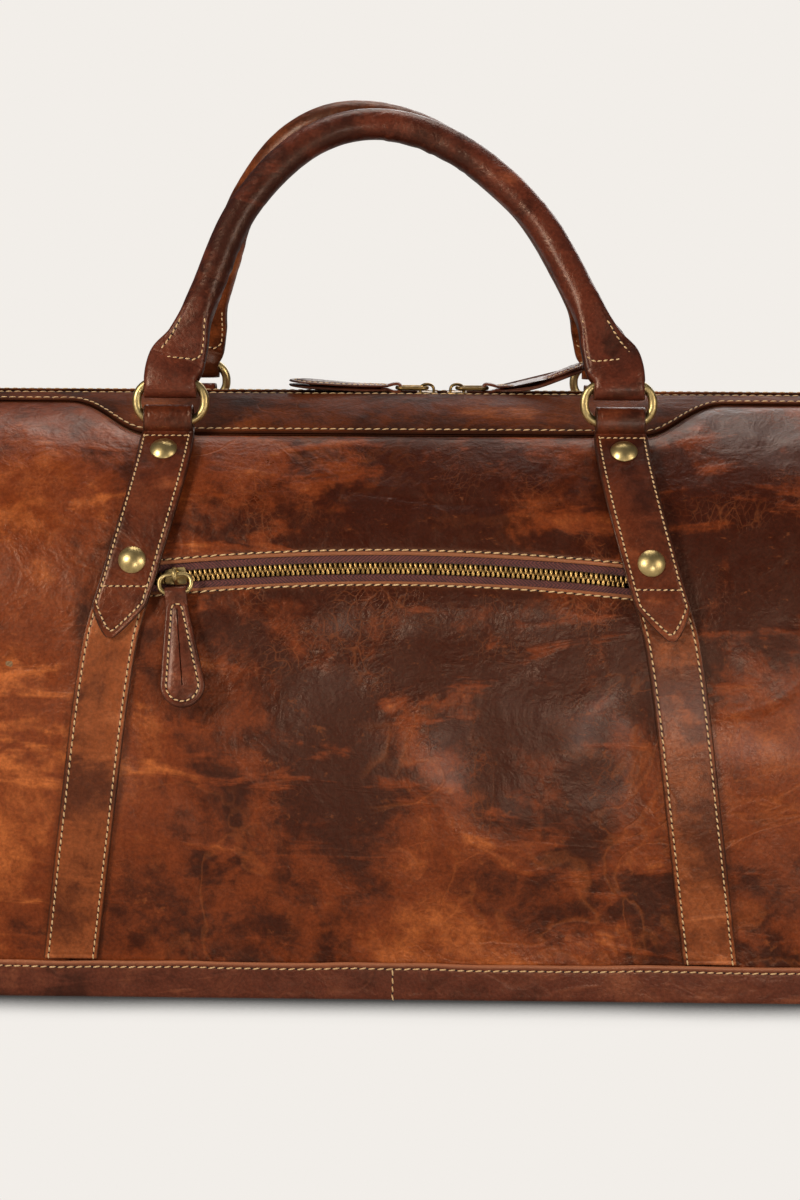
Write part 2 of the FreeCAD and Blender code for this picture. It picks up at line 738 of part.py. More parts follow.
def ring_tab():
    """Leather tab on the right end that covers the zip's end and holds the D-ring."""
    inner = end_outer + 0.4
    outer = inner + ring_tab_leather
    top = body_height - end_drop - 6
    half = ring_tab_width / 2
    foot = Vector(inner, -half, tab_foot)
    plate_part = Part.makeBox(ring_tab_leather, ring_tab_width, top - tab_foot, foot)
    eye_radius = d_wire + 0.7 + ring_tab_leather
    eye = Part.makeCylinder(eye_radius, ring_tab_width, Vector(d_pivot.x, -half, d_pivot.z), Y_AXIS)
    flap = Part.makeBox(ring_tab_leather, ring_tab_width, top - d_pivot.z,
                        Vector(d_pivot.x + d_wire + 0.7, -half, d_pivot.z))
    filler = Part.makeBox(d_pivot.x + eye_radius - inner, ring_tab_width, top - d_pivot.z - 8,
                          Vector(inner, -half, d_pivot.z + 8))
    hole_start = Vector(d_pivot.x, -half - 1, d_pivot.z)
    hole = Part.makeCylinder(d_wire + 0.7, ring_tab_width + 2, hole_start, Y_AXIS)
    half_space = Part.makeBox(30, 60, 80, Vector(inner, -30, 195))
    return plate_part.fuse([eye, flap, filler]).common(half_space).cut(hole).removeSplitter()


def d_ring():
    """D-ring that hangs down from its straight bar, swept round one smooth closed path."""
    half = d_width / 2 - d_wire
    inner = half - d_corner

    def point(y, z, radius, degrees):
        angle = math.radians(degrees)
        return Vector(0, y + radius * math.cos(angle), z + radius * math.sin(angle))
    start = Vector(0, 0, 0)
    edges = [Part.LineSegment(start, Vector(0, inner, 0)).toShape(),
             Part.Arc(*[point(inner, -d_corner, d_corner, a) for a in (90, 45, 0)]).toShape(),
             Part.Arc(*[point(0, -d_corner, half, a) for a in (0, -90, -180)]).toShape(),
             Part.Arc(*[point(-inner, -d_corner, d_corner, a) for a in (180, 135, 90)]).toShape(),
             Part.LineSegment(Vector(0, -inner, 0), start).toShape()]
    circle = Part.Wire(Part.Circle(start, Y_AXIS, d_wire).toShape())
    shape = Part.Wire(edges).makePipeShell([circle], True, True)
    shape.translate(d_pivot)
    return shape


# ---- write the nodes ------------------------------------------------------------------------
def write_body():
    bottom = leather + seam_gap
    write("base_panel", base_panel())
    write("base_board", base_plate(-leather - seam_gap - 1.2, bottom, bottom + 3.0))
    upper = centre_panel(lambda x: pocket_zip_length(x) + pocket_opening,
                         lambda x: seam_length(x) - seam_gap / 2, -1)
    write("front_panel_upper", drilled(upper, -1, (-1, 1)))
    write("front_pocket_panel", centre_panel(lambda x: bottom,
                                             lambda x: pocket_zip_length(x) - pocket_opening, -1))
    rear = centre_panel(lambda x: bottom, lambda x: seam_length(x) - seam_gap / 2, 1)
    write("rear_panel", drilled(rear, 1, (-1, 1)))
    for side in (-1, 1):
        right = drilled(wing(side), side)
        write(side_name(side) + "_right_wing", right)
        write(side_name(side) + "_left_wing", mirrored(right, X_AXIS))
        write("top_band_" + side_name(side), top_band(side))
    gusset = end_panel()
    write("right_end_panel", gusset)
    write("left_end_panel", mirrored(gusset, X_AXIS))
    write("lining", *lining())
    write("pocket_lining", pocket_lining())


def write_straps():
    flat = drilled(strip())
    chape = drilled(strap())
    pins = [rivet(height) for height in rivet_heights]
    for side in (-1, 1):
        rivets = []
        for way in (-1, 1):
            def placed(shape):
                shape = shape if way > 0 else mirrored(shape, X_AXIS)
                return shape if side < 0 else mirrored(shape, Y_AXIS)
            where = side_name(side) + ("_right" if way > 0 else "_left")
            write(where + "_strip", placed(flat))
            write(where + "_strap", placed(chape))
            rivets += [placed(pin) for pin in pins]
        write(side_name(side) + "_rivets", *rivets)


def write_handles():
    for side in (-1, 1):
        name = side_name(side)
        write(name + "_left_ring", oval_ring(-ring_x, side))
        write(name + "_right_ring", oval_ring(ring_x, side))
        write(name + "_handle_grip", grip(side))
        write(name + "_handle_core", core(side))
        write(name + "_handle_left_end", end_tab(-1, side))
        write(name + "_handle_right_end", end_tab(1, side))


def write_zips():
    write("main_zip_tape", main_tape(-1), main_tape(1))
    write("main_zip_teeth", main_teeth(-1), main_teeth(1))
    for way, name in ((-1, "left"), (1, "right")):
        body, link, tab = main_slider_set(way)
        write("main_slider_" + name, body)
        write("main_link_" + name, link)
        write("main_pull_" + name, tab)
    tape_reach = pocket_half + 4
    write("pocket_zip_tape", *[arc_bar(low, high, tape_half, tape_reach)
                               for low, high in ((tooth_half + 0.1, 9.0), (-9.0, -tooth_half - 0.1))])
    write("pocket_zip_teeth", *[arc_bar(low, high, chain_half, pocket_half)
                                for low, high in ((tooth_gap, tooth_half), (-tooth_half, -tooth_gap))])
    body, link, tab = pocket_slider_set()
    write("pocket_slider", body)
    write("pocket_link", link)
    write("pocket_pull", tab)


def write_ends():
    tab = ring_tab()
    hoop = d_ring()
    write("right_ring_tab", tab)
    write("left_ring_tab", mirrored(tab, X_AXIS))
    write("right_d_ring", hoop)
    write("left_d_ring", mirrored(hoop, X_AXIS))


def report_axes():
    """Prints the joint axes that the record repeats."""
    lean = math.radians(ring_lean)
    inward = Vector(0, math.sin(lean), math.cos(lean)) * ring_pitch
    print("front ring pivot", ring_pivot, "front handle pivot", ring_pivot + inward)
    turn = FreeCAD.Rotation(plane_normal, pocket_turn)
    pin = pocket_centre + turn.multVec(pocket_apex - pocket_centre + plane_normal * pocket_pin)
    down = turn.multVec(plane_up * -1)
    print("pocket arc centre", pocket_centre, "normal", plane_normal, "turn", pocket_turn)
    print("pocket link pivot", pin, "axis", turn.multVec(X_AXIS), "pull pivot", pin + down * link_short)
    print("main pins z", body_height + main_zip_lift + main_pin, "pull pivots x",
          zip_meeting_x - slider_gap / 2 - link_long, zip_meeting_x + slider_gap / 2 + link_long)
    print("D-ring pivot", d_pivot, "section length", section_length, "seam", seam_mid)


os.makedirs("parts", exist_ok=True)
write_body()
write_straps()
write_handles()
write_zips()
write_ends()
report_axes()
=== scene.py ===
import json
import math

import bpy
import numpy as np
from mathutils import Matrix, Vector


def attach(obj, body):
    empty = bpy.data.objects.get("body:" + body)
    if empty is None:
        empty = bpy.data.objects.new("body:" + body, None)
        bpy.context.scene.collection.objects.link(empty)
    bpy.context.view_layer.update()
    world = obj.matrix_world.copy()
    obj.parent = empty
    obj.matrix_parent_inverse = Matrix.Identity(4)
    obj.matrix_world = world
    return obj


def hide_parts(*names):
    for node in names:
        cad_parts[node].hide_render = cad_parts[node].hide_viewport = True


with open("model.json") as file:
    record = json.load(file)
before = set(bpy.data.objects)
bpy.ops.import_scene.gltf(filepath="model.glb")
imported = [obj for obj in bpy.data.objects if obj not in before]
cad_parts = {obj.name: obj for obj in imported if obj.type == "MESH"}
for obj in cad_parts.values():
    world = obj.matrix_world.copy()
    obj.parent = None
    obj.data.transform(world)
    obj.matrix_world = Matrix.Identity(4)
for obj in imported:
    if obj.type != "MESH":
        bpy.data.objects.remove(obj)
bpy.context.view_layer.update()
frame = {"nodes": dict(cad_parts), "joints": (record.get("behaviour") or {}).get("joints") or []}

scene = bpy.context.scene
joints = {j["name"]: j for j in frame["joints"]}
print("frame loaded:", len(frame["nodes"]), "nodes")


def jointAt(name):  # a joint's place, in millimetres
    return np.array(joints[name]["pos_m"]) * 1000


# the bag's shape, in millimetres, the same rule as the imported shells
pinAboveCrest = 3.05
bag = {
    "height": jointAt("main_link_left_hinge")[2] - pinAboveCrest,  # crest under the main zip
    "halfDepth": 125.0,
    "roundness": 4.5,
    "cornerStart": 215.0,
    "cornerRadius": 60.0,
    "endX": 269.0,
    "endDrop": 20.0,
    "baseInset": 4.5,
    "bandHeight": 20.0,
    "insetFade": 80.0,
    "leather": 2.4,
}
straps = {
    "width": 27.5,
    "tipHeight": 185.4,
    "rivetHeights": (270.8, 221.7),
    "line": [(0, 164.5), (90, 152.5), (183, 139.7), (219, 129.5), (268, 117.0), (300, 114.3)],  # height, x
    "stripLift": (0.3, 2.3),
    "strapLift": (2.6, 6.0),
}
seam = {"height": 281.4, "atEnds": 25.0, "turn": (128.0, 172.0)}
pocket = {"height": 220.3, "sag": 6.4, "half": 119.0, "opening": 6.8}


def smooth(start, end, value):
    share = np.clip((value - start) / (end - start), 0, 1)
    return share * share * (3 - 2 * share)


def halfDepthAt(height):
    inset = bag["baseInset"] * (1 - smooth(bag["bandHeight"], bag["bandHeight"] + bag["insetFade"], height))
    swell = np.sqrt(np.maximum(0, 1 - (height / bag["height"]) ** bag["roundness"]))
    return (bag["halfDepth"] - inset) * swell


sectionTurn = np.linspace(0, math.pi / 2, 721)
sectionHeight = bag["height"] * np.sin(sectionTurn) ** (2 / bag["roundness"])
sectionDepth = halfDepthAt(sectionHeight)
sectionDepth[-1] = 0
sectionRun = np.concatenate([[0], np.cumsum(np.hypot(np.diff(sectionDepth), np.diff(sectionHeight)))])
sectionLength = sectionRun[-1]


def lengthAt(height):
    return np.interp(height, sectionHeight, sectionRun)


def skinPoint(x, length, side):
    depth = np.interp(length, sectionRun, sectionDepth)
    height = np.interp(length, sectionRun, sectionHeight)
    turn = np.arcsin(np.clip((np.abs(x) - bag["cornerStart"]) / bag["cornerRadius"], 0, 0.999))
    inset = bag["cornerRadius"] * (1 - np.cos(turn))
    endTurn = math.asin((bag["endX"] - bag["cornerStart"]) / bag["cornerRadius"])
    drop = bag["endDrop"] * (1 - np.cos(turn)) / (1 - math.cos(endTurn))
    depth = depth * (1 - inset / bag["halfDepth"])
    height = height * (1 - drop / bag["height"])
    return np.stack([x + 0 * depth, side * depth, height + 0 * x], -1)


def unit(v):
    return v / np.maximum(np.linalg.norm(v, axis=-1, keepdims=True), 1e-12)


def skinNormal(x, length, side):
    step = 0.8
    up = skinPoint(x, np.minimum(length + step, sectionLength), side)
    down = skinPoint(x, np.maximum(length - step, 0), side)
    along = skinPoint(x + step, length, side) - skinPoint(x - step, length, side)
    normal = unit(np.cross(up - down, along))
    flip = np.sign(normal[..., 1] * side + normal[..., 2] * 0.3)
    return normal * np.where(flip == 0, 1, flip)[..., None]


def skin(x, length, side, lift=0.0):
    x, length, lift = np.broadcast_arrays(np.asarray(x, float), np.asarray(length, float), lift)
    return skinPoint(x, length, side) + skinNormal(x, length, side) * lift[..., None]


lineHeights, lineXs = np.array(straps["line"], float).T
lineSlopes = np.array([(lineXs[min(i + 1, len(lineXs) - 1)] - lineXs[max(i - 1, 0)])
                       / (lineHeights[min(i + 1, len(lineXs) - 1)] - lineHeights[max(i - 1, 0)])
                       for i in range(len(lineXs))])


def strapX(height):  # the straps' middle line
    height = np.asarray(height, float)
    i = np.clip(np.searchsorted(lineHeights, height) - 1, 0, len(lineXs) - 2)
    span = lineHeights[i + 1] - lineHeights[i]
    t = np.clip((height - lineHeights[i]) / span, 0, 1)
    return ((2 * t ** 3 - 3 * t ** 2 + 1) * lineXs[i] + (t ** 3 - 2 * t ** 2 + t) * span * lineSlopes[i]
            + (3 * t ** 2 - 2 * t ** 3) * lineXs[i + 1] + (t ** 3 - t ** 2) * span * lineSlopes[i + 1])


def panelEdge(length):
    return strapX(np.interp(length, sectionRun, sectionHeight))


seamMid = sectionLength - lengthAt(seam["height"])


def seamLength(x):
    share = smooth(seam["turn"][0], seam["turn"][1], np.abs(x))
    return sectionLength - (seamMid + (seam["atEnds"] - seamMid) * share)


def pocketLength(x):
    return lengthAt(pocket["height"]) - pocket["sag"] * (x / pocket["half"]) ** 2


# noise for dents and dye
def softNoise(points, cell, seed):
    p = np.asarray(points, float) / cell
    base = np.floor(p).astype(np.int64)
    t = p - base
    t = t * t * (3 - 2 * t)
    total = 0
    for corner in range(8):
        offset = np.array([(corner >> k) & 1 for k in range(3)])
        q = base + offset
        h = q[..., 0] * 374761393 + q[..., 1] * 668265263 + q[..., 2] * 362437 + seed * 974634777
        h = h & 0xFFFFFFFF
        h = ((h ^ (h >> 13)) * 1274126177) & 0xFFFFFFFF
        h = (h ^ (h >> 16)) & 0xFFFF
        total = total + np.prod(np.where(offset, t, 1 - t), axis=-1) * (h / 32767.5 - 1)
    return total


def creaseNoise(points, cell, seed):  # thin ridges, 0 to 1
    warp = np.stack([softNoise(points, cell * 1.7, seed + k) for k in (1, 2, 3)], -1)
    value = softNoise(points + warp * cell * 0.6, cell, seed)
    return np.clip(1 - np.abs(value) * 4.5, 0, 1) ** 2


# meshes
def buildMesh(name, verts, faces, attributes=None, material=None):  # verts in millimetres
    mesh = bpy.data.meshes.new(name)
    mesh.from_pydata((np.asarray(verts) * 0.001).tolist(), [], [list(map(int, f)) for f in faces])
    for key, values in (attributes or {}).items():
        layer = mesh.attributes.new(key, "FLOAT", "POINT")
        layer.data.foreach_set("value", np.asarray(values, np.float32).ravel())
    mesh.shade_smooth()
    if material:
        mesh.materials.append(material)
    obj = bpy.data.objects.new(name, mesh)
    scene.collection.objects.link(obj)
    return obj


def gridFaces(rows, cols, start=0, flip=False, wrapCols=False):
    faces = []
    for i in range(rows - 1):
        for j in range(cols if wrapCols else cols - 1):
            k = (j + 1) % cols
            a, b = start + i * cols + j, start + i * cols + k
            c, d = start + (i + 1) * cols + k, start + (i + 1) * cols + j
            faces.append((a, d, c, b) if flip else (a, b, c, d))
    return faces


def shellFaces(rows, cols):  # both sides of a thin sheet and its rim
    count = rows * cols
    faces = gridFaces(rows, cols) + gridFaces(rows, cols, count, flip=True)
    rim = ([i * cols for i in range(rows)] + [(rows - 1) * cols + j for j in range(1, cols)]
           + [i * cols + cols - 1 for i in range(rows - 2, -1, -1)] + [j for j in range(cols - 2, 0, -1)])
    return faces + [(rim[k], rim[k - 1], rim[k - 1] + count, rim[k] + count) for k in range(len(rim))]


def tubeFaces(rows, cols):  # a tube of loops, closed at both ends
    ends = [tuple(range(cols))[::-1], tuple(range((rows - 1) * cols, rows * cols))]
    return gridFaces(rows, cols, wrapCols=True) + ends


def runAlong(path):  # the distance from the start at each point
    return np.concatenate([[0], np.cumsum(np.linalg.norm(np.diff(path, axis=0), axis=1))])


def resampled(at, run, values):
    return np.stack([np.interp(at, run, column) for column in values.T], -1)


def joined(parts):  # several (verts, faces) as one
    verts, faces, start = [], [], 0
    for v, f in parts:
        verts.append(np.asarray(v, float))
        faces += [tuple(i + start for i in face) for face in f]
        start += len(v)
    return np.concatenate(verts), faces


def outward(verts, faces):  # turns a closed shell's faces to point out
    v = np.asarray(verts)
    fans = np.array([(f[0], f[k], f[k + 1]) for f in faces for k in range(1, len(f) - 1)])
    a, b, c = v[fans[:, 0]], v[fans[:, 1]], v[fans[:, 2]]
    return faces if np.einsum("ij,ij->i", a, np.cross(b, c)).sum() > 0 else [f[::-1] for f in faces]


edgeRows = (0, 0.12, 0.4, 0.8, 1.3, 2.0, 2.8, 3.6, 4.6, 6.0)  # finer rows beside every edge


def spaced(length, step):
    rows = [d for d in edgeRows if d < length / 2 - 0.4]
    count = max(3, int(round((length - 2 * rows[-1]) / step)) + 1)
    inner = np.linspace(rows[-1], length - rows[-1], count)
    return np.concatenate([rows[:-1], inner, [length - d for d in reversed(rows[:-1])]]) / length


def rolledEdge(distance, radius):
    return radius - np.sqrt(radius ** 2 - np.maximum(radius - distance, 0) ** 2)


def leatherPanel(name, left, right, low, high, side, material, lift=0.0, thickness=2.4, roll=1.1, step=2.6,
                 dip=0.9, dents=None, trimEdges="", paintEdges="", tone=None):
    width = np.mean(right(np.linspace(low(0), high(0), 9)) - left(np.linspace(low(0), high(0), 9)))
    u, v = np.meshgrid(spaced(width, step), spaced(high(0) - low(0), step), indexing="ij")
    guess = low(0) + (high(0) - low(0)) * v
    x = left(guess) + (right(guess) - left(guess)) * u
    length = low(x) + (high(x) - low(x)) * v
    x = left(length) + (right(length) - left(length)) * u
    away = {"l": x - left(length), "r": right(length) - x, "b": length - low(x), "t": high(x) - length}
    edge = np.maximum(np.minimum.reduce(list(away.values())), 0)
    base = skin(x, length, side, 0)
    dent = dents(base) * smooth(2, 30, edge) if dents else 0 * edge
    outer = skin(x, length, side, lift + dent - dip * np.exp(-edge / 5) - rolledEdge(edge, roll))
    inner = skin(x, length, side, lift + dent - thickness)
    rows, cols = edge.shape
    faces = shellFaces(rows, cols)
    verts = np.concatenate([outer.reshape(-1, 3), inner.reshape(-1, 3)])
    near = lambda edges: np.minimum.reduce([away[e] for e in edges]) if edges else 0 * edge + 99
    values = {"edge": edge, "trim": np.exp(-(near(trimEdges) / 1.9) ** 2),
              "paint": 1 - smooth(0.3, 1.2, near(paintEdges)), "tone": tone(base) if tone else 0 * edge}
    return buildMesh(name, verts, outward(verts, faces),
                     {k: np.concatenate([w.ravel(), w.ravel()]) for k, w in values.items()}, material)


def loft(name, centre, across, normal, halfWidth, halfThick, material, corner, columns, edge, tone):
    n = len(centre)  # a closed strap through frames, flat faces with rounded edges
    halfWidth = np.broadcast_to(halfWidth, n)[:, None]
    halfThick = np.broadcast_to(halfThick, n)[:, None]
    r = np.minimum(corner, np.minimum(halfThick, halfWidth)) * 0.98
    flat = (spaced(27, 27 / columns) * 2 - 1)[None]
    bend = np.linspace(0, math.pi / 2, 5)[None, 1:-1]
    topU, topW = flat * (halfWidth - r), np.broadcast_to(halfThick, (n, flat.shape[1]))
    sideU, sideW = halfWidth - r + r * np.sin(bend), halfThick - r + r * np.cos(bend)
    u = np.hstack([topU, sideU, sideU[:, ::-1], -topU, -sideU, -sideU[:, ::-1]])
    w = np.hstack([topW, sideW, -sideW[:, ::-1], -topW, -sideW, sideW[:, ::-1]])
    sideways = np.hstack([np.zeros(flat.shape[1]), np.ones(6), np.zeros(flat.shape[1]), np.ones(6)])
    verts = centre[:, None] + across[:, None] * u[..., None] + normal[:, None] * w[..., None]
    cols = u.shape[1]
    faces = tubeFaces(n, cols)
    verts = verts.reshape(-1, 3)
    toEdge = np.minimum((halfWidth - np.abs(u)) * (1 - sideways), edge[:, None])
    values = {"edge": toEdge, "paint": 1 - smooth(0.5, 1.3, toEdge), "trim": 0 * toEdge,
              "tone": tone(verts).reshape(n, cols)}
    return buildMesh(name, verts, outward(verts, faces), values, material)


def sweep(path, radius, sides=16, closed=True, flatten=1.0):  # verts and faces of a wire along a path
    path = np.asarray(path, float)
    ahead = np.roll(path, -1, 0) - np.roll(path, 1, 0) if closed else np.gradient(path, axis=0)
    tangent = unit(ahead)
    plane = unit(np.cross(path[1] - path[0], path[len(path) // 3] - path[0]) + 1e-9)
    normal = unit(np.cross(np.broadcast_to(plane, path.shape), tangent))
    turn = np.linspace(0, 2 * math.pi, sides, endpoint=False)
    ring = (normal[:, None] * np.cos(turn)[None, :, None]
            + plane[None, None] * (np.sin(turn) * flatten)[None, :, None]) * radius
    verts = (path[:, None] + ring).reshape(-1, 3)
    rows = len(path)
    faces = tubeFaces(rows, sides)
    if closed:
        last = (rows - 1) * sides
        faces[-2:] = [(last + j, last + (j + 1) % sides, (j + 1) % sides, j) for j in range(sides)]
    return verts, outward(verts, faces)


# closed path in local X and Y, the lower bar through the origin
def roundedLoop(width, height, corner, count=14):
    half = width / 2
    points = []
    for cx, cy, start in ((half - corner, corner, -90), (half - corner, height - corner, 0),
                          (-half + corner, height - corner, 90), (-half + corner, corner, 180)):
        for k in range(count):
            angle = math.radians(start + 90 * k / (count - 1))
            points.append((cx + corner * math.cos(angle), cy + corner * math.sin(angle)))
    return np.array(points)


def plate(outline, low, high, bevel):  # a flat plate with softened edges, outline in X and Y
    outline = np.asarray(outline, float)
    middle = outline.mean(0)
    inset = middle + (outline - middle) * (1 - bevel / np.abs(outline - middle).max())
    rings = [(inset, low), (outline, low + bevel), (outline, high - bevel), (inset, high)]
    verts = np.concatenate([np.column_stack([ring, np.full(len(ring), z)]) for ring, z in rings])
    n = len(outline)
    faces = tubeFaces(4, n)
    return verts, outward(verts, faces)


def cutSlot(obj, centre, radius, stretch, reach):  # cuts a slot along X, for the wire that a loop holds
    turn = np.linspace(0, 2 * math.pi, 28, endpoint=False)
    ring = np.stack([0 * turn, radius * np.cos(turn), radius * np.sin(turn)], -1)
    ring = ring + np.array(centre) + np.where(np.sin(turn)[:, None] > 0, 1, 0) * np.array(stretch)
    verts = np.concatenate([ring - (reach, 0, 0), ring + (reach, 0, 0)])
    faces = tubeFaces(2, len(turn))
    cutter = buildMesh("cutter", verts, outward(verts, faces))
    modifier = obj.modifiers.new("slot", "BOOLEAN")
    modifier.operation = "DIFFERENCE"
    modifier.object = cutter
    modifier.solver = "EXACT"
    applied(obj)
    bpy.data.objects.remove(cutter)
    obj.data.set_sharp_from_angle(angle=math.radians(42))


def applied(obj):  # bakes the modifiers into the mesh
    graph = bpy.context.evaluated_depsgraph_get()
    mesh = bpy.data.meshes.new_from_object(obj.evaluated_get(graph))
    obj.modifiers.clear()
    obj.data = mesh
    return obj


# rows of stitches, teeth and rivets, by Geometry Nodes
def makeRowTree():
    tree = bpy.data.node_groups.new("itemRow", "GeometryNodeTree")
    sockets = tree.interface
    sockets.new_socket("Geometry", in_out="INPUT", socket_type="NodeSocketGeometry")
    for name, kind in (("Pitch", "NodeSocketFloat"), ("Item", "NodeSocketObject"),
                       ("Finish", "NodeSocketMaterial"),
                       ("At Points", "NodeSocketBool"), ("Slant", "NodeSocketFloat"),
                       ("Wander", "NodeSocketFloat")):
        sockets.new_socket(name, in_out="INPUT", socket_type=kind)
    sockets.new_socket("Geometry", in_out="OUTPUT", socket_type="NodeSocketGeometry")
    add = tree.nodes.new
    link = tree.links.new
    given, result = add("NodeGroupInput"), add("NodeGroupOutput")
    curve, evenly = add("GeometryNodeMeshToCurve"), add("GeometryNodeResampleCurve")
    which = add("GeometryNodeSwitch")
    evenly.mode = "LENGTH"
    which.input_type = "GEOMETRY"
    link(given.outputs["Geometry"], curve.inputs[0])
    link(curve.outputs[0], evenly.inputs["Curve"])
    link(given.outputs["Pitch"], evenly.inputs["Length"])
    link(given.outputs["At Points"], which.inputs["Switch"])
    link(evenly.outputs[0], which.inputs["False"])
    link(given.outputs["Geometry"], which.inputs["True"])
    turned = None
    for attribute, axis, pivot in (("forward", "X", "AUTO"), ("outward", "Z", "X")):
        read, align = add("GeometryNodeInputNamedAttribute"), add("FunctionNodeAlignRotationToVector")
        read.data_type = "FLOAT_VECTOR"
        read.inputs["Name"].default_value = attribute
        align.axis, align.pivot_axis = axis, pivot
        link(read.outputs["Attribute"], align.inputs["Vector"])
        if turned:
            link(turned, align.inputs["Rotation"])
        turned = align.outputs["Rotation"]
    jitter, slanted = add("FunctionNodeRandomValue"), add("ShaderNodeMath")
    jitter.data_type = "FLOAT"
    jitter.inputs["Seed"].default_value = 7
    negative = add("ShaderNodeMath")
    negative.operation = "MULTIPLY"
    negative.inputs[1].default_value = -1
    link(given.outputs["Wander"], negative.inputs[0])
    link(negative.outputs[0], jitter.inputs[2])
    link(given.outputs["Wander"], jitter.inputs[3])
    link(given.outputs["Slant"], slanted.inputs[0])
    link(jitter.outputs[1], slanted.inputs[1])
    euler, spin = add("ShaderNodeCombineXYZ"), add("FunctionNodeRotateRotation")
    toRotation = add("FunctionNodeEulerToRotation")
    spin.rotation_space = "LOCAL"
    link(slanted.outputs[0], euler.inputs["Z"])
    link(euler.outputs[0], toRotation.inputs[0])
    link(turned, spin.inputs["Rotation"])
    link(toRotation.outputs[0], spin.inputs["Rotate By"])
    info, place = add("GeometryNodeObjectInfo"), add("GeometryNodeInstanceOnPoints")
    info.inputs["As Instance"].default_value = True
    link(given.outputs["Item"], info.inputs["Object"])
    link(which.outputs["Output"], place.inputs["Points"])
    link(info.outputs["Geometry"], place.inputs["Instance"])
    link(spin.outputs[0], place.inputs["Rotation"])
    real, finish = add("GeometryNodeRealizeInstances"), add("GeometryNodeSetMaterial")
    link(place.outputs[0], real.inputs[0])
    link(real.outputs[0], finish.inputs["Geometry"])
    link(given.outputs["Finish"], finish.inputs["Material"])
    link(finish.outputs[0], result.inputs[0])
    return tree


rowTree = makeRowTree()


def itemRows(name, rows, item, material, pitch=4.5, atPoints=False, slant=0.0, wander=0.0):
    # rows holds (points, outward vectors) in millimetres, and the items stand along each row
    points, edges, ups, aheads = [], [], [], []
    for path, up in rows:
        path = np.asarray(path, float)
        start = len(points)
        points += (path * 0.001).tolist()
        ups += np.broadcast_to(up, path.shape).tolist()
        aheads += (unit(np.gradient(path, axis=0)) if len(path) > 1 else np.array([[1.0, 0, 0]])).tolist()
        edges += [] if atPoints else [(start + k, start + k + 1) for k in range(len(path) - 1)]
    mesh = bpy.data.meshes.new(name)
    mesh.from_pydata(points, edges, [])
    for key, values in (("outward", ups), ("forward", aheads)):
        layer = mesh.attributes.new(key, "FLOAT_VECTOR", "POINT")
        layer.data.foreach_set("vector", np.asarray(values, np.float32).ravel())
    obj = bpy.data.objects.new(name, mesh)
    scene.collection.objects.link(obj)
    modifier = obj.modifiers.new("rows", "NODES")
    modifier.node_group = rowTree
    given = {"Pitch": pitch * 0.001, "Item": item, "Finish": material, "At Points": atPoints,
             "Slant": slant, "Wander": wander}
    for socket in rowTree.interface.items_tree:
        if socket.in_out == "INPUT" and socket.name in given:
            modifier[socket.identifier] = given[socket.name]
    applied(obj)
    obj.data.shade_smooth()
    for key in ("outward", "forward"):
        if key in obj.data.attributes:
            obj.data.attributes.remove(obj.data.attributes[key])
    return obj


def itemMesh(name, verts, faces):  # a small shape that rows repeat; deleted once every row is made
    return buildMesh(name, verts, outward(verts, faces))


def stitchItem(length, width, height):
    rings, sides = 5, 6
    turn = np.linspace(0, 2 * math.pi, sides, endpoint=False)
    verts = []
    for k in range(rings):
        t = -1 + 2 * k / (rings - 1)
        r = math.sqrt(max(0.06, 1 - abs(t) ** 3.2))
        for a in turn:
            verts.append((t * length / 2, r * width / 2 * math.cos(a),
                          r * height / 2 * math.sin(a) - 0.30 * height * abs(t) ** 3 + 0.25 * height))
    return itemMesh("stitchItem", np.array(verts), tubeFaces(rings, sides))


# a dark disc for a stitch hole: painted shade inside the hole
def holeItem(radius):
    turn = np.linspace(0, 2 * math.pi, 8, endpoint=False)
    disc = np.stack([radius * 1.25 * np.cos(turn), radius * np.sin(turn), 0 * turn], -1)
    verts = np.concatenate([disc * 0.8 + (0, 0, 0.10), disc - (0, 0, 0.25)])
    return itemMesh("holeItem", verts, tubeFaces(2, 8))


print("tools ready")


# materials
def linear(color):  # from a 0-255 screen colour
    c = np.array(color) / 255
    return tuple(np.where(c <= 0.04045, c / 12.92, ((c + 0.055) / 1.055) ** 2.4)) + (1.0,)


def put(tree, kind, inputs=None, **settings):
    node = tree.nodes.new(kind)
    for key, value in settings.items():
        setattr(node, key, value)
    for key, value in (inputs or {}).items():
        if isinstance(value, bpy.types.NodeSocket):
            tree.links.new(value, node.inputs[key])
        else:
            node.inputs[key].default_value = value
    return node


def calc(tree, operation, a, b=0.0, c=0.0, clamp=False):
    return put(tree, "ShaderNodeMath", {0: a, 1: b, 2: c}, operation=operation, use_clamp=clamp).outputs[0]


def ranged(tree, value, low, high, toLow=0.0, toHigh=1.0):
    inputs = {"Value": value, "From Min": low, "From Max": high, "To Min": toLow, "To Max": toHigh}
    return put(tree, "ShaderNodeMapRange", inputs, interpolation_type="SMOOTHSTEP").outputs[0]


def mixed(tree, share, a, b, blend="MIX"):
    return put(tree, "ShaderNodeMix", {0: share, 6: a, 7: b}, data_type="RGBA", blend_type=blend).outputs[2]


def noise(tree, vector, scale, detail=2.0, roughness=0.5, distortion=0.0):
    inputs = {"Vector": vector, "Scale": scale, "Detail": detail, "Roughness": roughness,
              "Distortion": distortion}
    return put(tree, "ShaderNodeTexNoise", inputs).outputs["Fac"]


def newGroup(name, inputs, outputs):
    tree = bpy.data.node_groups.new(name, "ShaderNodeTree")
    for direction, sockets in (("INPUT", inputs), ("OUTPUT", outputs)):
        for key, kind in sockets.items():
            tree.interface.new_socket(key, in_out=direction, socket_type="NodeSocket" + kind)
    return tree, tree.nodes.new("NodeGroupInput").outputs, tree.nodes.new("NodeGroupOutput").inputs


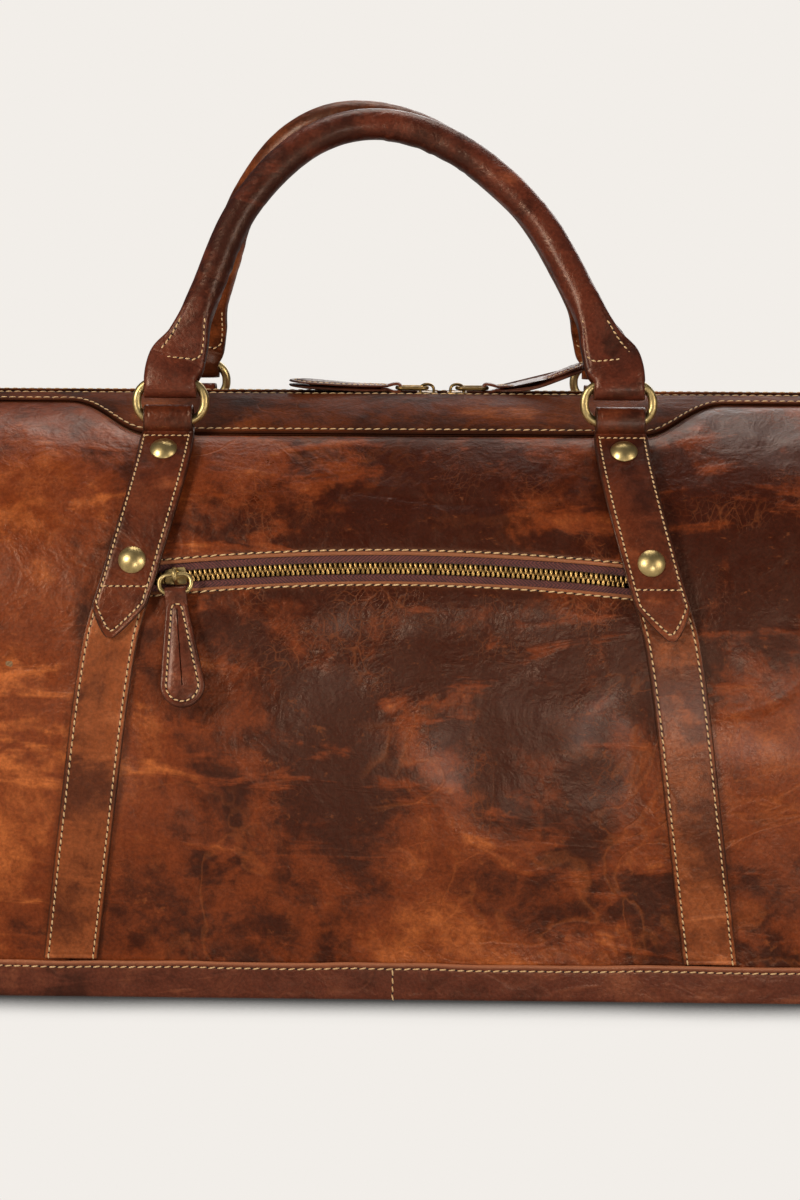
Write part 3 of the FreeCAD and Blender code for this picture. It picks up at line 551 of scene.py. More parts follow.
def makeCreases():  # thin bent lines that lie in patches
    tree, given, result = newGroup("creases", {"Vector": "Vector", "Scale": "Float", "Cover": "Float"},
                                   {"Mask": "Float"})
    warp = put(tree, "ShaderNodeTexNoise", {"Vector": given["Vector"], "Scale": 18.0, "Detail": 3.0})
    pulled = put(tree, "ShaderNodeVectorMath", {0: warp.outputs["Color"], 1: (0.05, 0.05, 0.05)},
                 operation="MULTIPLY").outputs[0]
    bent = put(tree, "ShaderNodeVectorMath", {0: given["Vector"], 1: pulled}, operation="ADD").outputs[0]
    lines = put(tree, "ShaderNodeTexVoronoi", {"Vector": bent, "Scale": given["Scale"], "Randomness": 1.0},
                feature="DISTANCE_TO_EDGE").outputs["Distance"]
    thin = ranged(tree, lines, 0.0, 0.055, 1.0, 0.0)
    patches = noise(tree, given["Vector"], 21.0, 2.0, 0.6)
    limit = calc(tree, "SUBTRACT", 0.78, calc(tree, "MULTIPLY", given["Cover"], 0.4))
    shown = ranged(tree, patches, limit, calc(tree, "ADD", limit, 0.14))
    tree.links.new(calc(tree, "MULTIPLY", thin, shown), result["Mask"])
    return tree


def makeLeather():  # waxed pull-up leather: mottled dye with painted light from the Tone input, pale bends, lighter turned edges that are partly painted highlight, grain, a groove under the stitches
    tree, given, result = newGroup(
        "waxedLeather",
        {"Vector": "Vector", "Tone": "Float", "Edge": "Float", "Trim": "Float", "Paint": "Float",
         "Light": "Color",
         "Middle": "Color", "Dark": "Color", "Trim Color": "Color", "Stitch": "Float", "Grain": "Float",
         "Wear": "Float", "Cover": "Float"},
        {"Color": "Color", "Roughness": "Float", "Normal": "Vector"})
    place = given["Vector"]
    large = noise(tree, place, 6.5, 2.0, 0.5, 0.3)
    patch = noise(tree, place, 21.0, 4.0, 0.6, 0.5)
    small = noise(tree, place, 95.0, 5.0, 0.68, 0.4)
    mottle = calc(tree, "ADD", calc(tree, "MULTIPLY", large, 0.6), calc(tree, "MULTIPLY", patch, 1.15))
    mottle = calc(tree, "ADD", mottle, calc(tree, "MULTIPLY", small, 0.55))
    slanted = put(tree, "ShaderNodeMapping",
                  {"Vector": place, "Rotation": (0, -0.42, 0), "Scale": (13.0, 20.0, 52.0)})
    streaks = ranged(tree, noise(tree, slanted.outputs[0], 1.0, 4.0, 0.6, 0.8), 0.52, 0.74, 0.0, 0.34)
    # the Tone attribute adds each piece's tone, which on the body, strips and straps also carries painted
    # light
    mottle = calc(tree, "ADD", calc(tree, "SUBTRACT", mottle, 0.76),
                  calc(tree, "ADD", given["Tone"], streaks))
    color = mixed(tree, ranged(tree, mottle, 0.23, 0.52), given["Dark"], given["Middle"])
    color = mixed(tree, ranged(tree, mottle, 0.50, 0.92), color, given["Light"])
    masks = []
    for scale, cover in ((105.0, given["Cover"]), (265.0, 0.75)):
        lines = put(tree, "ShaderNodeGroup", node_tree=creaseTree)
        for key, value in (("Vector", place), ("Scale", scale), ("Cover", cover)):
            if isinstance(value, float):
                lines.inputs[key].default_value = value
            else:
                tree.links.new(value, lines.inputs[key])
        masks.append(lines.outputs["Mask"])
    crease = calc(tree, "MAXIMUM", masks[0], calc(tree, "MULTIPLY", masks[1], 0.7))
    color = mixed(tree, calc(tree, "MULTIPLY", crease, 0.16), color, given["Light"])
    bends = calc(tree, "ABSOLUTE", calc(tree, "SUBTRACT", noise(tree, place, 15.0, 3.0, 0.55, 1.4), 0.5))
    bend = calc(tree, "MULTIPLY", ranged(tree, bends, 0.0, 0.035, 1.0, 0.0), ranged(tree, large, 0.44, 0.6))
    color = mixed(tree, calc(tree, "MULTIPLY", bend, 0.19), color, given["Light"])
    scuffPlace = put(tree, "ShaderNodeMapping",
                     {"Vector": place, "Rotation": (0.4, 0.7, 0.9), "Scale": (1.0, 5.5, 1.0)})
    scuffs = noise(tree, scuffPlace.outputs[0], 120.0, 3.0, 0.7, 0.2)
    scuff = calc(tree, "MULTIPLY", ranged(tree, scuffs, 0.62, 0.74), given["Wear"])
    color = mixed(tree, calc(tree, "MULTIPLY", scuff, 0.35), color, given["Light"])
    speckle = noise(tree, place, 620.0, 2.0, 0.6)
    fleck = ranged(tree, speckle, 0.3, 0.7, 0.80, 1.15)
    flecks = put(tree, "ShaderNodeCombineColor", {k: fleck for k in range(3)}).outputs[0]
    color = mixed(tree, 1.0, color, flecks, "MULTIPLY")
    # lighter turned edges: partly paler folded leather, partly painted highlight where the fold catches light
    color = mixed(tree, calc(tree, "MULTIPLY", given["Trim"], 0.8), color, given["Trim Color"])
    color = mixed(tree, calc(tree, "MULTIPLY", given["Paint"], 0.82), color, linear((44, 21, 13)))
    tree.links.new(color, result["Color"])
    gloss = calc(tree, "ADD", ranged(tree, patch, 0.3, 0.7, 0.44, 0.30), calc(tree, "MULTIPLY", crease, 0.12))
    gloss = calc(tree, "ADD", gloss, ranged(tree, small, 0.3, 0.7, -0.05, 0.07))
    tree.links.new(calc(tree, "ADD", gloss, calc(tree, "MULTIPLY", scuff, 0.1)), result["Roughness"])
    pebble = put(tree, "ShaderNodeTexVoronoi", {"Vector": place, "Scale": 640.0, "Smoothness": 0.6},
                 feature="SMOOTH_F1").outputs["Distance"]
    grain = calc(tree, "ADD", calc(tree, "MULTIPLY", pebble, 0.085),
                 calc(tree, "MULTIPLY", noise(tree, place, 1500.0, 3.0, 0.6), 0.055))
    height = calc(tree, "MULTIPLY", grain, given["Grain"])
    height = calc(tree, "SUBTRACT", height, calc(tree, "MULTIPLY", crease, 0.07))
    height = calc(tree, "SUBTRACT", height, calc(tree, "MULTIPLY", bend, 0.18))
    height = calc(tree, "ADD", height, calc(tree, "MULTIPLY", noise(tree, place, 120.0, 4.0, 0.62, 0.7),
                                            0.62))
    height = calc(tree, "ADD", height, calc(tree, "MULTIPLY", noise(tree, place, 46.0, 3.0, 0.6, 1.0), 1.3))
    height = calc(tree, "ADD", height, calc(tree, "MULTIPLY", streaks, 0.9))
    off = calc(tree, "DIVIDE", calc(tree, "SUBTRACT", given["Edge"], given["Stitch"]), 0.75)
    groove = calc(tree, "POWER", 2.718, calc(tree, "MULTIPLY", calc(tree, "MULTIPLY", off, off), -1.0))
    height = calc(tree, "SUBTRACT", height, calc(tree, "MULTIPLY", groove, 0.34))
    bump = put(tree, "ShaderNodeBump", {"Height": height, "Distance": 0.001, "Strength": 0.75})
    tree.links.new(bump.outputs[0], result["Normal"])
    return tree


creaseTree = makeCreases()
leatherTree = makeLeather()


def newMaterial(name):
    material = bpy.data.materials.new(name)
    material.use_nodes = True
    tree = material.node_tree
    tree.nodes.clear()
    shader = tree.nodes.new("ShaderNodeBsdfPrincipled")
    tree.links.new(shader.outputs[0], tree.nodes.new("ShaderNodeOutputMaterial").inputs[0])
    place = tree.nodes.new("ShaderNodeTexCoord").outputs["Object"]
    return material, tree, shader, place


def leatherMaterial(name, look):
    material, tree, shader, place = newMaterial(name)
    moved = put(tree, "ShaderNodeMapping",
                {"Vector": place, "Location": look.get("shift", (0, 0, 0))}).outputs[0]
    group = put(tree, "ShaderNodeGroup", node_tree=leatherTree)
    tree.links.new(moved, group.inputs["Vector"])
    for key in ("tone", "edge", "trim", "paint"):
        read = put(tree, "ShaderNodeAttribute", attribute_name=key)
        tree.links.new(read.outputs["Fac"], group.inputs[key.capitalize()])
    if look.get("tone"):
        read = calc(tree, "ADD", group.inputs["Tone"].links[0].from_socket, look["tone"])
        tree.links.new(read, group.inputs["Tone"])
    for key in ("Light", "Middle", "Dark", "Trim Color"):
        group.inputs[key].default_value = linear(look[key])
    group.inputs["Stitch"].default_value = look.get("stitch", -9.0)
    group.inputs["Grain"].default_value = look.get("grain", 1.0)
    group.inputs["Wear"].default_value = look.get("wear", 0.6)
    group.inputs["Cover"].default_value = look.get("cover", 0.5)
    for key, socket in (("Color", "Base Color"), ("Roughness", "Roughness"), ("Normal", "Normal")):
        tree.links.new(group.outputs[key], shader.inputs[socket])
    if look.get("matte"):
        tree.links.new(calc(tree, "ADD", group.outputs["Roughness"], look["matte"]),
                       shader.inputs["Roughness"])
    shader.inputs["Specular IOR Level"].default_value = look.get("specular", 0.40)
    shader.inputs["Specular Tint"].default_value = (1.0, 0.66, 0.46, 1)
    shader.inputs["Coat Tint"].default_value = (1.0, 0.93, 0.86, 1)
    shader.inputs["Coat Weight"].default_value = look.get("coat", 0.08)
    shader.inputs["Coat Roughness"].default_value = 0.24
    return material


leatherLooks = {
    "body": {"Light": (186, 100, 48), "Middle": (116, 50, 20), "Dark": (58, 20, 8),
             "Trim Color": (176, 112, 76),
             "stitch": 2.5, "cover": 0.62},
    "band": {"Light": (140, 72, 32), "Middle": (94, 42, 16), "Dark": (58, 25, 9),
             "Trim Color": (176, 112, 76),
             "stitch": 2.5, "wear": 0.3, "cover": 0.2, "shift": (0.4, 0, 0), "specular": 0.06, "coat": 0.0,
             "matte": 0.22},
    "strap": {"Light": (134, 68, 38), "Middle": (92, 40, 21), "Dark": (54, 21, 12),
              "Trim Color": (150, 90, 60),
              "stitch": 2.4, "shift": (0.2, 0.3, 0), "cover": 0.35},
    "strip": {"Light": (180, 102, 58), "Middle": (136, 69, 34), "Dark": (84, 37, 17),
              "Trim Color": (176, 112, 76),
              "stitch": 2.4, "shift": (0.1, 0.6, 0), "cover": 0.5},
    "base": {"Light": (128, 70, 46), "Middle": (92, 44, 30), "Dark": (58, 25, 17),
             "Trim Color": (178, 112, 78),
             "stitch": 3.0, "shift": (0.3, 0.1, 0.4)},
    "handle": {"Light": (134, 68, 42), "Middle": (94, 42, 27), "Dark": (56, 23, 15),
               "Trim Color": (150, 90, 60),
               "stitch": 2.6, "shift": (0.5, 0.2, 0), "wear": 0.8, "cover": 0.5},
    "rearHandle": {"Light": (160, 88, 44), "Middle": (118, 57, 26), "Dark": (72, 32, 14),
                   "Trim Color": (150, 90, 60), "stitch": 2.6, "shift": (0.8, 0.2, 0), "wear": 0.5,
                   "cover": 0.3},
    "pull": {"Light": (142, 78, 50), "Middle": (100, 48, 31), "Dark": (62, 26, 16),
             "Trim Color": (150, 90, 60),
             "stitch": 3.0, "shift": (0.6, 0.6, 0)},
}
leathers = {key: leatherMaterial(key + "Leather", look) for key, look in leatherLooks.items()}


def metalMaterial(name, bright, dark, roughness, patina):
    material, tree, shader, place = newMaterial(name)
    stain = ranged(tree, noise(tree, place, 160.0, 4.0, 0.65), 0.35, 0.7, 0.0, patina)
    scratch = put(tree, "ShaderNodeMapping",
                  {"Vector": place, "Scale": (1, 14, 1), "Rotation": (0.3, 0.2, 0.5)})
    brushed = noise(tree, scratch.outputs[0], 900.0, 2.0, 0.6)
    tree.links.new(mixed(tree, stain, linear(bright), linear(dark)), shader.inputs["Base Color"])
    shader.inputs["Metallic"].default_value = 1.0
    rough = calc(tree, "ADD", ranged(tree, brushed, 0.3, 0.7, roughness - 0.05, roughness + 0.08),
                 calc(tree, "MULTIPLY", stain, 0.2))
    tree.links.new(rough, shader.inputs["Roughness"])
    bump = put(tree, "ShaderNodeBump", {"Height": brushed, "Distance": 0.00004, "Strength": 0.5})
    tree.links.new(bump.outputs[0], shader.inputs["Normal"])
    return material


def clothMaterial(name, warp, weft, pitch, roughness=0.85):  # a slanting weave that turns back in a zigzag
    material, tree, shader, place = newMaterial(name)
    parts = put(tree, "ShaderNodeSeparateXYZ", {0: place}).outputs
    across = calc(tree, "ADD", parts["Y"], parts["Z"])
    zigzag = calc(tree, "PINGPONG", across, pitch * 2.5)
    twill = calc(tree, "SINE", calc(tree, "MULTIPLY", calc(tree, "ADD", parts["X"], zigzag),
                                    2 * math.pi / pitch))
    share = ranged(tree, twill, -1, 1)
    color = mixed(tree, share, linear(warp), linear(weft))
    fuzz = ranged(tree, noise(tree, place, 420.0, 3.0), 0.3, 0.7, 0.75, 1.15)
    grey = put(tree, "ShaderNodeCombineColor", {k: fuzz for k in range(3)}).outputs[0]
    tree.links.new(mixed(tree, 1.0, color, grey, "MULTIPLY"), shader.inputs["Base Color"])
    shader.inputs["Roughness"].default_value = roughness
    shader.inputs["Sheen Weight"].default_value = 0.2
    bump = put(tree, "ShaderNodeBump", {"Height": share, "Distance": 0.0002, "Strength": 0.6})
    tree.links.new(bump.outputs[0], shader.inputs["Normal"])
    return material


def plainMaterial(name, color, other, scale, roughness):
    material, tree, shader, place = newMaterial(name)
    spread = ranged(tree, noise(tree, place, scale, 4.0, 0.6), 0.3, 0.7)
    tree.links.new(mixed(tree, spread, linear(color), linear(other)), shader.inputs["Base Color"])
    shader.inputs["Roughness"].default_value = roughness
    bump = put(tree, "ShaderNodeBump", {"Height": noise(tree, place, scale * 4, 2.0), "Distance": 0.0001})
    tree.links.new(bump.outputs[0], shader.inputs["Normal"])
    return material


metals = {
    "hardware": metalMaterial("antiqueBrass", (216, 190, 130), (122, 98, 58), 0.33, 0.6),
    "zip": metalMaterial("zipBrass", (190, 152, 92), (80, 58, 32), 0.36, 0.75),
    "slider": metalMaterial("sliderBrass", (158, 126, 74), (66, 50, 30), 0.30, 0.7),
}
threadMaterial = plainMaterial("waxedThread", (230, 194, 144), (200, 156, 104), 900.0, 0.6)
holeShadeMaterial = plainMaterial("stitchHole", (38, 18, 11), (24, 12, 8), 600.0, 0.8)
tapeMaterial = clothMaterial("zipTape", (104, 52, 44), (66, 30, 28), 0.0019)
liningMaterial = clothMaterial("liningTwill", (146, 110, 72), (126, 92, 58), 0.0024)
boardMaterial = plainMaterial("baseBoard", (70, 58, 48), (54, 44, 36), 300.0, 0.8)

for nodeName, finish in (("lining", liningMaterial), ("pocket_lining", liningMaterial),
                         ("base_board", boardMaterial)):
    data = frame["nodes"][nodeName].data
    data.materials.clear()
    data.materials.append(finish)
print("materials ready")

stitches, holes = {}, {}  # rows gathered per body: (points, outward)


def place(obj, body, slot, *nodes):
    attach(obj, body)
    if nodes:
        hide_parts(*nodes)
    return obj


def sewn(body, path, up, pitch=4.5):  # a row of stitches with a hole at every stitch's ends; the holes are dark discs of painted shade
    path = np.asarray(path, float)
    up = np.broadcast_to(up, path.shape)
    run = runAlong(path)
    step = run[-1] / max(1, int(run[-1] / pitch))
    at = np.linspace(step / 2, run[-1] - step / 2, max(2, len(path)))
    between = resampled(at, run, path)
    ups = resampled(at, run, up)
    stitches.setdefault((body, pitch), []).append((path, up))
    holes.setdefault((body, pitch), []).append((between, ups))


def skinRow(body, x, length, side, lift, pitch=4.5):
    x, length = np.broadcast_arrays(np.asarray(x, float), np.asarray(length, float))
    sewn(body, skin(x, length, side, lift), skinNormal(x, length, side), pitch)


# body leather
body = {
    "dents": ((95, 3.6), (42, 2.1), (19, 0.8)),  # size of the lumps and their height
    "folds": 1.3,  # depth of the sharper folds
    "gap": 0.15,
    "bottom": 2.7,
    "patches": (  # x, height, reach, tone; lighter above 0. The patches are partly dye and partly painted light, such as the painted sheen low on the left wing
        (-225, 70, 60, 0.34), (-215, 215, 60, 0.26), (-200, 140, 50, 0.16), (-130, 110, 40, 0.12),
        (-90, 225, 60, -0.06), (20, 245, 80, -0.16), (-20, 110, 75, -0.10), (105, 160, 60, -0.22),
        (-100, 200, 26, 0.16), (20, 55, 50, 0.04), (190, 250, 50, -0.18), (245, 90, 50, 0.18),
        (205, 150, 40, 0.20), (215, 40, 40, -0.10), (20, 175, 50, -0.10), (-250, 20, 40, 0.20),
        (-75, 150, 24, 0.10), (-10, 20, 40, 0.08), (70, 215, 40, 0.02), (110, 60, 40, -0.12)),
}


def dents(points):
    total = sum(softNoise(points, cell, 11 + k) * size for k, (cell, size) in enumerate(body["dents"]))
    folds = creaseNoise(points, 58, 31) * smooth(-0.1, 0.5, softNoise(points, 80, 41))
    return total * 0.75 - 0.6 - body["folds"] * folds


# random tone plus the patches, which are partly dye and partly painted light
def tone(points):
    total = softNoise(points, 120, 71) * 0.05
    for x, height, reach, value in body["patches"]:
        away = ((points[..., 0] - x) ** 2 + (points[..., 2] - height) ** 2) / reach ** 2
        total = total + value * np.exp(-away) * (1 - 0.3 * (points[..., 1] > 0))
    return total


def centrePanel(name, low, high, side, trim):
    half = body["gap"]
    obj = leatherPanel(name, lambda s: -panelEdge(s) + half, lambda s: panelEdge(s) - half, low, high, side,
                       leathers["body"], dents=dents, trimEdges=trim, tone=tone)
    return place(obj, "bag_body", "body_leather", name)


pocketTop = lambda x: pocketLength(x) - pocket["opening"]
upperLow = lambda x: pocketLength(x) + pocket["opening"]
seamTop = lambda x: seamLength(x) - body["gap"]
bottomAt = lambda x: body["bottom"] + 0 * x
centrePanel("front_panel_upper", upperLow, seamTop, -1, "b")
centrePanel("front_pocket_panel", bottomAt, pocketTop, -1, "t")
centrePanel("rear_panel", bottomAt, seamTop, 1, "")
for side, sideName in ((-1, "front"), (1, "rear")):
    for way, wayName in ((-1, "left"), (1, "right")):
        near = lambda s: way * (panelEdge(s) + body["gap"])
        far = lambda s: way * (bag["endX"] - 0.3) + 0 * s
        name = sideName + "_" + wayName + "_wing"
        obj = leatherPanel(name, near if way > 0 else far, far if way > 0 else near, bottomAt, seamTop, side,
                           leathers["body"], dents=dents, tone=tone)
        place(obj, "bag_body", "body_leather", name)
        upLengths = np.linspace(8, sectionLength - 34, 60)
        skinRow("bag_body", way * 265.6, upLengths, side, 0.05)
    bandReach = bag["endX"] - 0.3
    bandLow = lambda x: seamLength(x) + 0.3
    bandHigh = lambda x: sectionLength - 7.0 + 0 * x
    obj = leatherPanel("top_band_" + sideName, lambda s: -bandReach + 0 * s, lambda s: bandReach + 0 * s,
                       bandLow, bandHigh, side, leathers["band"], lift=1.0, thickness=2.2, roll=0.9, dip=0.0,
                       paintEdges="b", tone=lambda p: softNoise(p, 60, 5) * 0.08)
    place(obj, "bag_body", "band_leather", "top_band_" + sideName)
    across = np.linspace(-262, 262, 220)
    skinRow("bag_body", across, seamLength(across) + 2.8, side, 1.05)
    skinRow("bag_body", across, sectionLength - 9.4, side, 1.05)
hemX = np.linspace(-pocket["half"] - 6, pocket["half"] + 6, 90)
for offset in (-8.9, 8.9):
    skinRow("bag_body", hemX, pocketLength(hemX) + offset, -1, -0.10)
print("panels ready")

# ends
ends = {"x": 271.4, "leather": 2.4, "sag": 1.1}


def endPanel(way, name):
    lengths = np.unique(np.concatenate([np.linspace(2.7, sectionLength, 90),
                                        [sectionLength - d for d in edgeRows]]))
    edgeAt = np.array([skinPoint(bag["endX"] + 2.4 - 2.3 * smooth(12, 20, s), s, 1) for s in lengths])
    shares = spaced(200, 4.0) * 2 - 1
    y = edgeAt[:, 1][:, None] * shares[None]
    z = np.broadcast_to(edgeAt[:, 2][:, None], y.shape)
    points = np.stack([0 * y + way * ends["x"], y, z], -1)
    edge = np.minimum(edgeAt[:, 1][:, None] * (1 - np.abs(shares[None])), np.minimum(z, edgeAt[-1, 2] - z))
    edge = np.maximum(edge, 0)
    inward = (ends["sag"] * (0.6 + 0.6 * softNoise(points, 60, 3)) * smooth(3, 30, edge)
              + rolledEdge(edge, 1.1))
    inward = np.where((np.abs(y) < 14) & (z > 210), np.minimum(inward, 0.8), inward)
    outer = points - np.array([way, 0, 0]) * inward[..., None]
    inner = points - np.array([way, 0, 0]) * ends["leather"]
    rows, cols = y.shape
    faces = shellFaces(rows, cols)
    verts = np.concatenate([outer.reshape(-1, 3), inner.reshape(-1, 3)])
    values = {"edge": edge, "trim": 0 * edge, "paint": 0 * edge, "tone": tone(points)}
    obj = buildMesh(name, verts, outward(verts, faces),
                    {k: np.concatenate([v.ravel(), v.ravel()]) for k, v in values.items()}, leathers["body"])
    place(obj, "bag_body", "body_leather", name)


endPanel(-1, "left_end_panel")
endPanel(1, "right_end_panel")

# base tray
base = {"offset": 2.5, "wall": 2.0, "height": 20.0, "floor": 2.4, "wave": 0.7, "corner": 2.0}


def baseOutline(offset, count=24, straight=150):  # closed loop of (x, y), starting at the front middle
    depth = halfDepthAt(np.array(bag["bandHeight"]))
    reach = bag["endX"] + bag["leather"] + offset
    last = math.asin((reach - bag["cornerStart"]) / (bag["cornerRadius"] + offset))
    quarter = [(x, depth + offset) for x in np.linspace(0, bag["cornerStart"], straight)[:-1]]
    for angle in np.linspace(0, last, count):
        inset = bag["cornerRadius"] * (1 - math.cos(angle))
        quarter.append((bag["cornerStart"] + (bag["cornerRadius"] + offset) * math.sin(angle),
                        depth * (1 - inset / bag["halfDepth"]) + offset * math.cos(angle)))
    endY = quarter[-1][1]
    quarter += [(reach, y) for y in np.linspace(endY, 0, 30)[1:]]
    q = np.array(quarter)
    right = np.concatenate([q * (1, -1), q[::-1][1:]])
    return np.concatenate([right, (right * (-1, 1))[::-1][1:-1]])


def baseTray():
    profile = [(-6, 0), (-base["corner"], 0), (-1.0, 0.35), (-0.35, 1.0), (0, 2.0), (0, 3.2), (0.1, 6),
               (0.2, 10),
               (0.2, 14), (0.1, 16)]
    topDepths = [3.2, 2.4, 1.8, 1.2, 0.7, 0.3, 0.08, 0]
    loops, values = [], []
    outer = baseOutline(base["offset"])
    inner = baseOutline(base["offset"] - base["wall"])
    mid = np.concatenate([outer, np.zeros((len(outer), 1))], 1)
    wave = base["wave"] * softNoise(mid, 48, 17) + 0.35 * softNoise(mid, 21, 18)
    bow = 0.5 * softNoise(mid, 40, 19)
    sideways = unit(outer - inner)
    top = base["height"] - 0.4 + wave

    def ring(offset, z):
        xy = outer + sideways * np.asarray(offset)[..., None]
        loops.append(np.column_stack([xy, np.broadcast_to(z, len(xy))]))
        values.append(np.broadcast_to(top - z, len(xy)))
    for offset, z in profile:
        ring(offset - 0.25 + bow * 0.3 * (z > 1) * smooth(1, 8,
                                                          np.array(z)) * (1 - smooth(12, 18, np.array(z))), z)
    for down in topDepths:
        ring(-0.15 - rolledEdge(down, 1.0), top - down)
    for down in (0.08, 1.0, 6.0):
        ring(-base["wall"] + 0.1 + rolledEdge(down, 0.8), top - down)
    ring(-base["wall"] + 0.1, np.full(len(outer), base["floor"]))
    ring(-12.0, np.full(len(outer), base["floor"]))
    verts = np.concatenate(loops)
    n = len(outer)
    faces = gridFaces(len(loops), n, wrapCols=True) + [tuple(range(n))[::-1]]
    faces.append(tuple(range((len(loops) - 1) * n, len(loops) * n)))
    edge = np.concatenate(values)
    # trim marks the lighter top edge, partly painted highlight where the turned edge catches light
    attributes = {"edge": edge, "trim": np.exp(-(np.maximum(edge, 0) / 1.5) ** 2), "paint": 0 * edge,
                  "tone": softNoise(verts, 70, 23) * 0.1 + 0.07 * smooth(100, 250, verts[:, 0])}
    obj = buildMesh("base_panel", verts, outward(verts, faces), attributes, leathers["base"])
    place(obj, "bag_body", "base_leather", "base_panel")
    up = np.column_stack([sideways, np.zeros(n)])
    rowPath = np.column_stack([outer - sideways * 0.12, top - 3.0])
    rowPath, up = np.concatenate([rowPath, rowPath[:1]]), np.concatenate([up, up[:1]])
    sewn("bag_body", rowPath, up)
    seamPath = np.array([(1.6, -halfDepthAt(20.0) - base["offset"] + 0.1, z) for z in (2.0, 9, 15.0)])
    sewn("bag_body", seamPath, np.tile((0, -1, 0), (3, 1)), 4.2)


baseTray()
print("base ready")

# strips, straps and rivets
strap = {"ply": 1.7, "loopRadius": 5.55, "slack": 2.0, "tip": 17.0, "inset": 2.4, "rows": (276.4, 209.6),
         "necking": 1.2}
half = straps["width"] / 2


def wrinkles(points):
    rows = softNoise(points * np.array((0.35, 1, 1)), 7.5,
                     51) + 0.6 * softNoise(points * np.array((0.5, 1, 1)), 3.6, 53)
    return 0.35 * rows * smooth(-0.4, 0.5, softNoise(points, 40, 57))


def stripTone(points):  # random tone, and painted light: lighter towards the left, where the light falls, darker towards the right
    return softNoise(points, 50, 61) * 0.12 + 0.26 * smooth(-120, 120, -points[..., 0]) - 0.13


def makeStrip(way, side, name):
    middle = lambda s: way * panelEdge(s)
    obj = leatherPanel(name, lambda s: middle(s) - half, lambda s: middle(s) + half,
                       lambda x: lengthAt(20.6) + 0 * x, lambda x: lengthAt(266.9) + 0 * x, side,
                       leathers["strip"],
                       lift=straps["stripLift"][1], thickness=1.9, roll=0.9, step=1.9, dip=0.0,
                       dents=wrinkles,
                       paintEdges="lr", tone=stripTone)
    place(obj, "bag_body", "strip_leather", name)
    heights = np.linspace(22, 196, 70)
    for inset in (-1, 1):
        x = way * strapX(heights) + inset * (half - strap["inset"])
        skinRow("bag_body", x, lengthAt(heights), side, straps["stripLift"][1] + 0.02, 3.6)


# (y, z, height that sets x) of one ply after the other: inner ply up, round the bar, outer ply down
def strapPath(side):
    pivot = jointAt("front_ring_left_hinge")
    centre = np.array([side * abs(pivot[1]), pivot[2]])
    lengths = np.concatenate([lengthAt(straps["tipHeight"]) + np.array([0.05, 0.3, 0.8, 1.5, 2.5, 4]),
                              np.arange(lengthAt(straps["tipHeight"]) + 5.5, sectionLength, 1.6)])
    plies = []
    for lift in (straps["strapLift"][0] + strap["ply"] / 2 + 0.02,
                 straps["strapLift"][1] - strap["ply"] / 2 - 0.02):
        flat = skin(0.0, lengths, side, lift)[:, 1:]
        near = np.linalg.norm(flat - centre, axis=1) < strap["loopRadius"]
        plies.append(flat[:np.argmax(near)])
    angles = [math.atan2(p[-1][1] - centre[1], side * (p[-1][0] - centre[0])) for p in plies]
    start = angles[0] + (2 * math.pi if angles[0] < angles[1] else 0)  # backwards over the top of the bar
    turns = np.linspace(start, angles[1], 44)[1:-1]
    rises = np.sin(turns) * strap["loopRadius"] + strap["slack"] * smooth(-0.3, 0.3, np.sin(turns))
    turnPath = np.stack([side * np.cos(turns) * strap["loopRadius"], rises], -1)
    path = np.concatenate([plies[0], centre + turnPath, plies[1][::-1]])
    for _ in range(3):
        path[3:-3] = (path[2:-4] + 2 * path[3:-3] + path[4:-2]) / 4
    return path


def makeStrap(way, side, name):
    path = strapPath(side)
    x = way * strapX(np.minimum(path[:, 1], 284))
    centre = np.column_stack([x, path])
    tangent = np.gradient(path, axis=0)
    normal = unit(np.column_stack([0 * x, -tangent[:, 1], tangent[:, 0]]))
    middle = centre.mean(0)
    normal = normal if (normal * (centre - middle)).sum() > 0 else -normal
    rise = np.maximum(path[:, 1] - straps["tipHeight"], 0)
    necking = strap["necking"] * smooth(278, 287, path[:, 1])
    width = half * np.clip(rise / strap["tip"], 0.0006, 1) ** 0.7 - necking
    tipDistance = np.where(rise < 24, rise * 0.9, 99.0)
    # the tone is random, plus painted light: the right-hand straps are painted lighter to make up for the
    # weaker light on that side
    obj = loft(name, centre, np.tile((1.0, 0, 0), (len(x), 1)), normal, width, strap["ply"] / 2,
               leathers["strap"],
               corner=0.65, columns=16, edge=tipDistance + 0 * width,
               tone=lambda p: softNoise(p, 34, 65) * 0.14 - 0.04 + 0.20 * smooth(0, 120, p[..., 0]))
    place(obj, "bag_body", "strap_leather", name)
    inset, top = strap["inset"], straps["strapLift"][1] + 0.02
    low = straps["tipHeight"]
    edgeHeights = np.concatenate([np.linspace(strap["rows"][0], low + strap["tip"] - 0.5, 50)])
    tipRises = np.linspace(0.92, 0.0, 10)[1:]
    tipHeights = low + 3.0 + (strap["tip"] - 3.5) * tipRises
    tipWidths = (half - inset) * tipRises ** 0.82
    heights = np.concatenate([edgeHeights, tipHeights, tipHeights[::-1][1:], edgeHeights[::-1]])
    offsets = np.concatenate([np.full(50, half - inset), tipWidths, -tipWidths[::-1][1:],
                              np.full(50, inset - half)])
    skinRow("bag_body", way * strapX(heights) + offsets, lengthAt(heights), side, top, 2.9)
    for height in strap["rows"]:
        reach = np.linspace(-(half - inset - 1.4), half - inset - 1.4, 8)
        skinRow("bag_body", way * strapX(np.full(8, height)) + reach, lengthAt(height), side, top, 2.9)


for side, sideName in ((-1, "front"), (1, "rear")):
    for way, wayName in ((-1, "left"), (1, "right")):
        makeStrip(way, side, sideName + "_" + wayName + "_strip")
        makeStrap(way, side, sideName + "_" + wayName + "_strap")

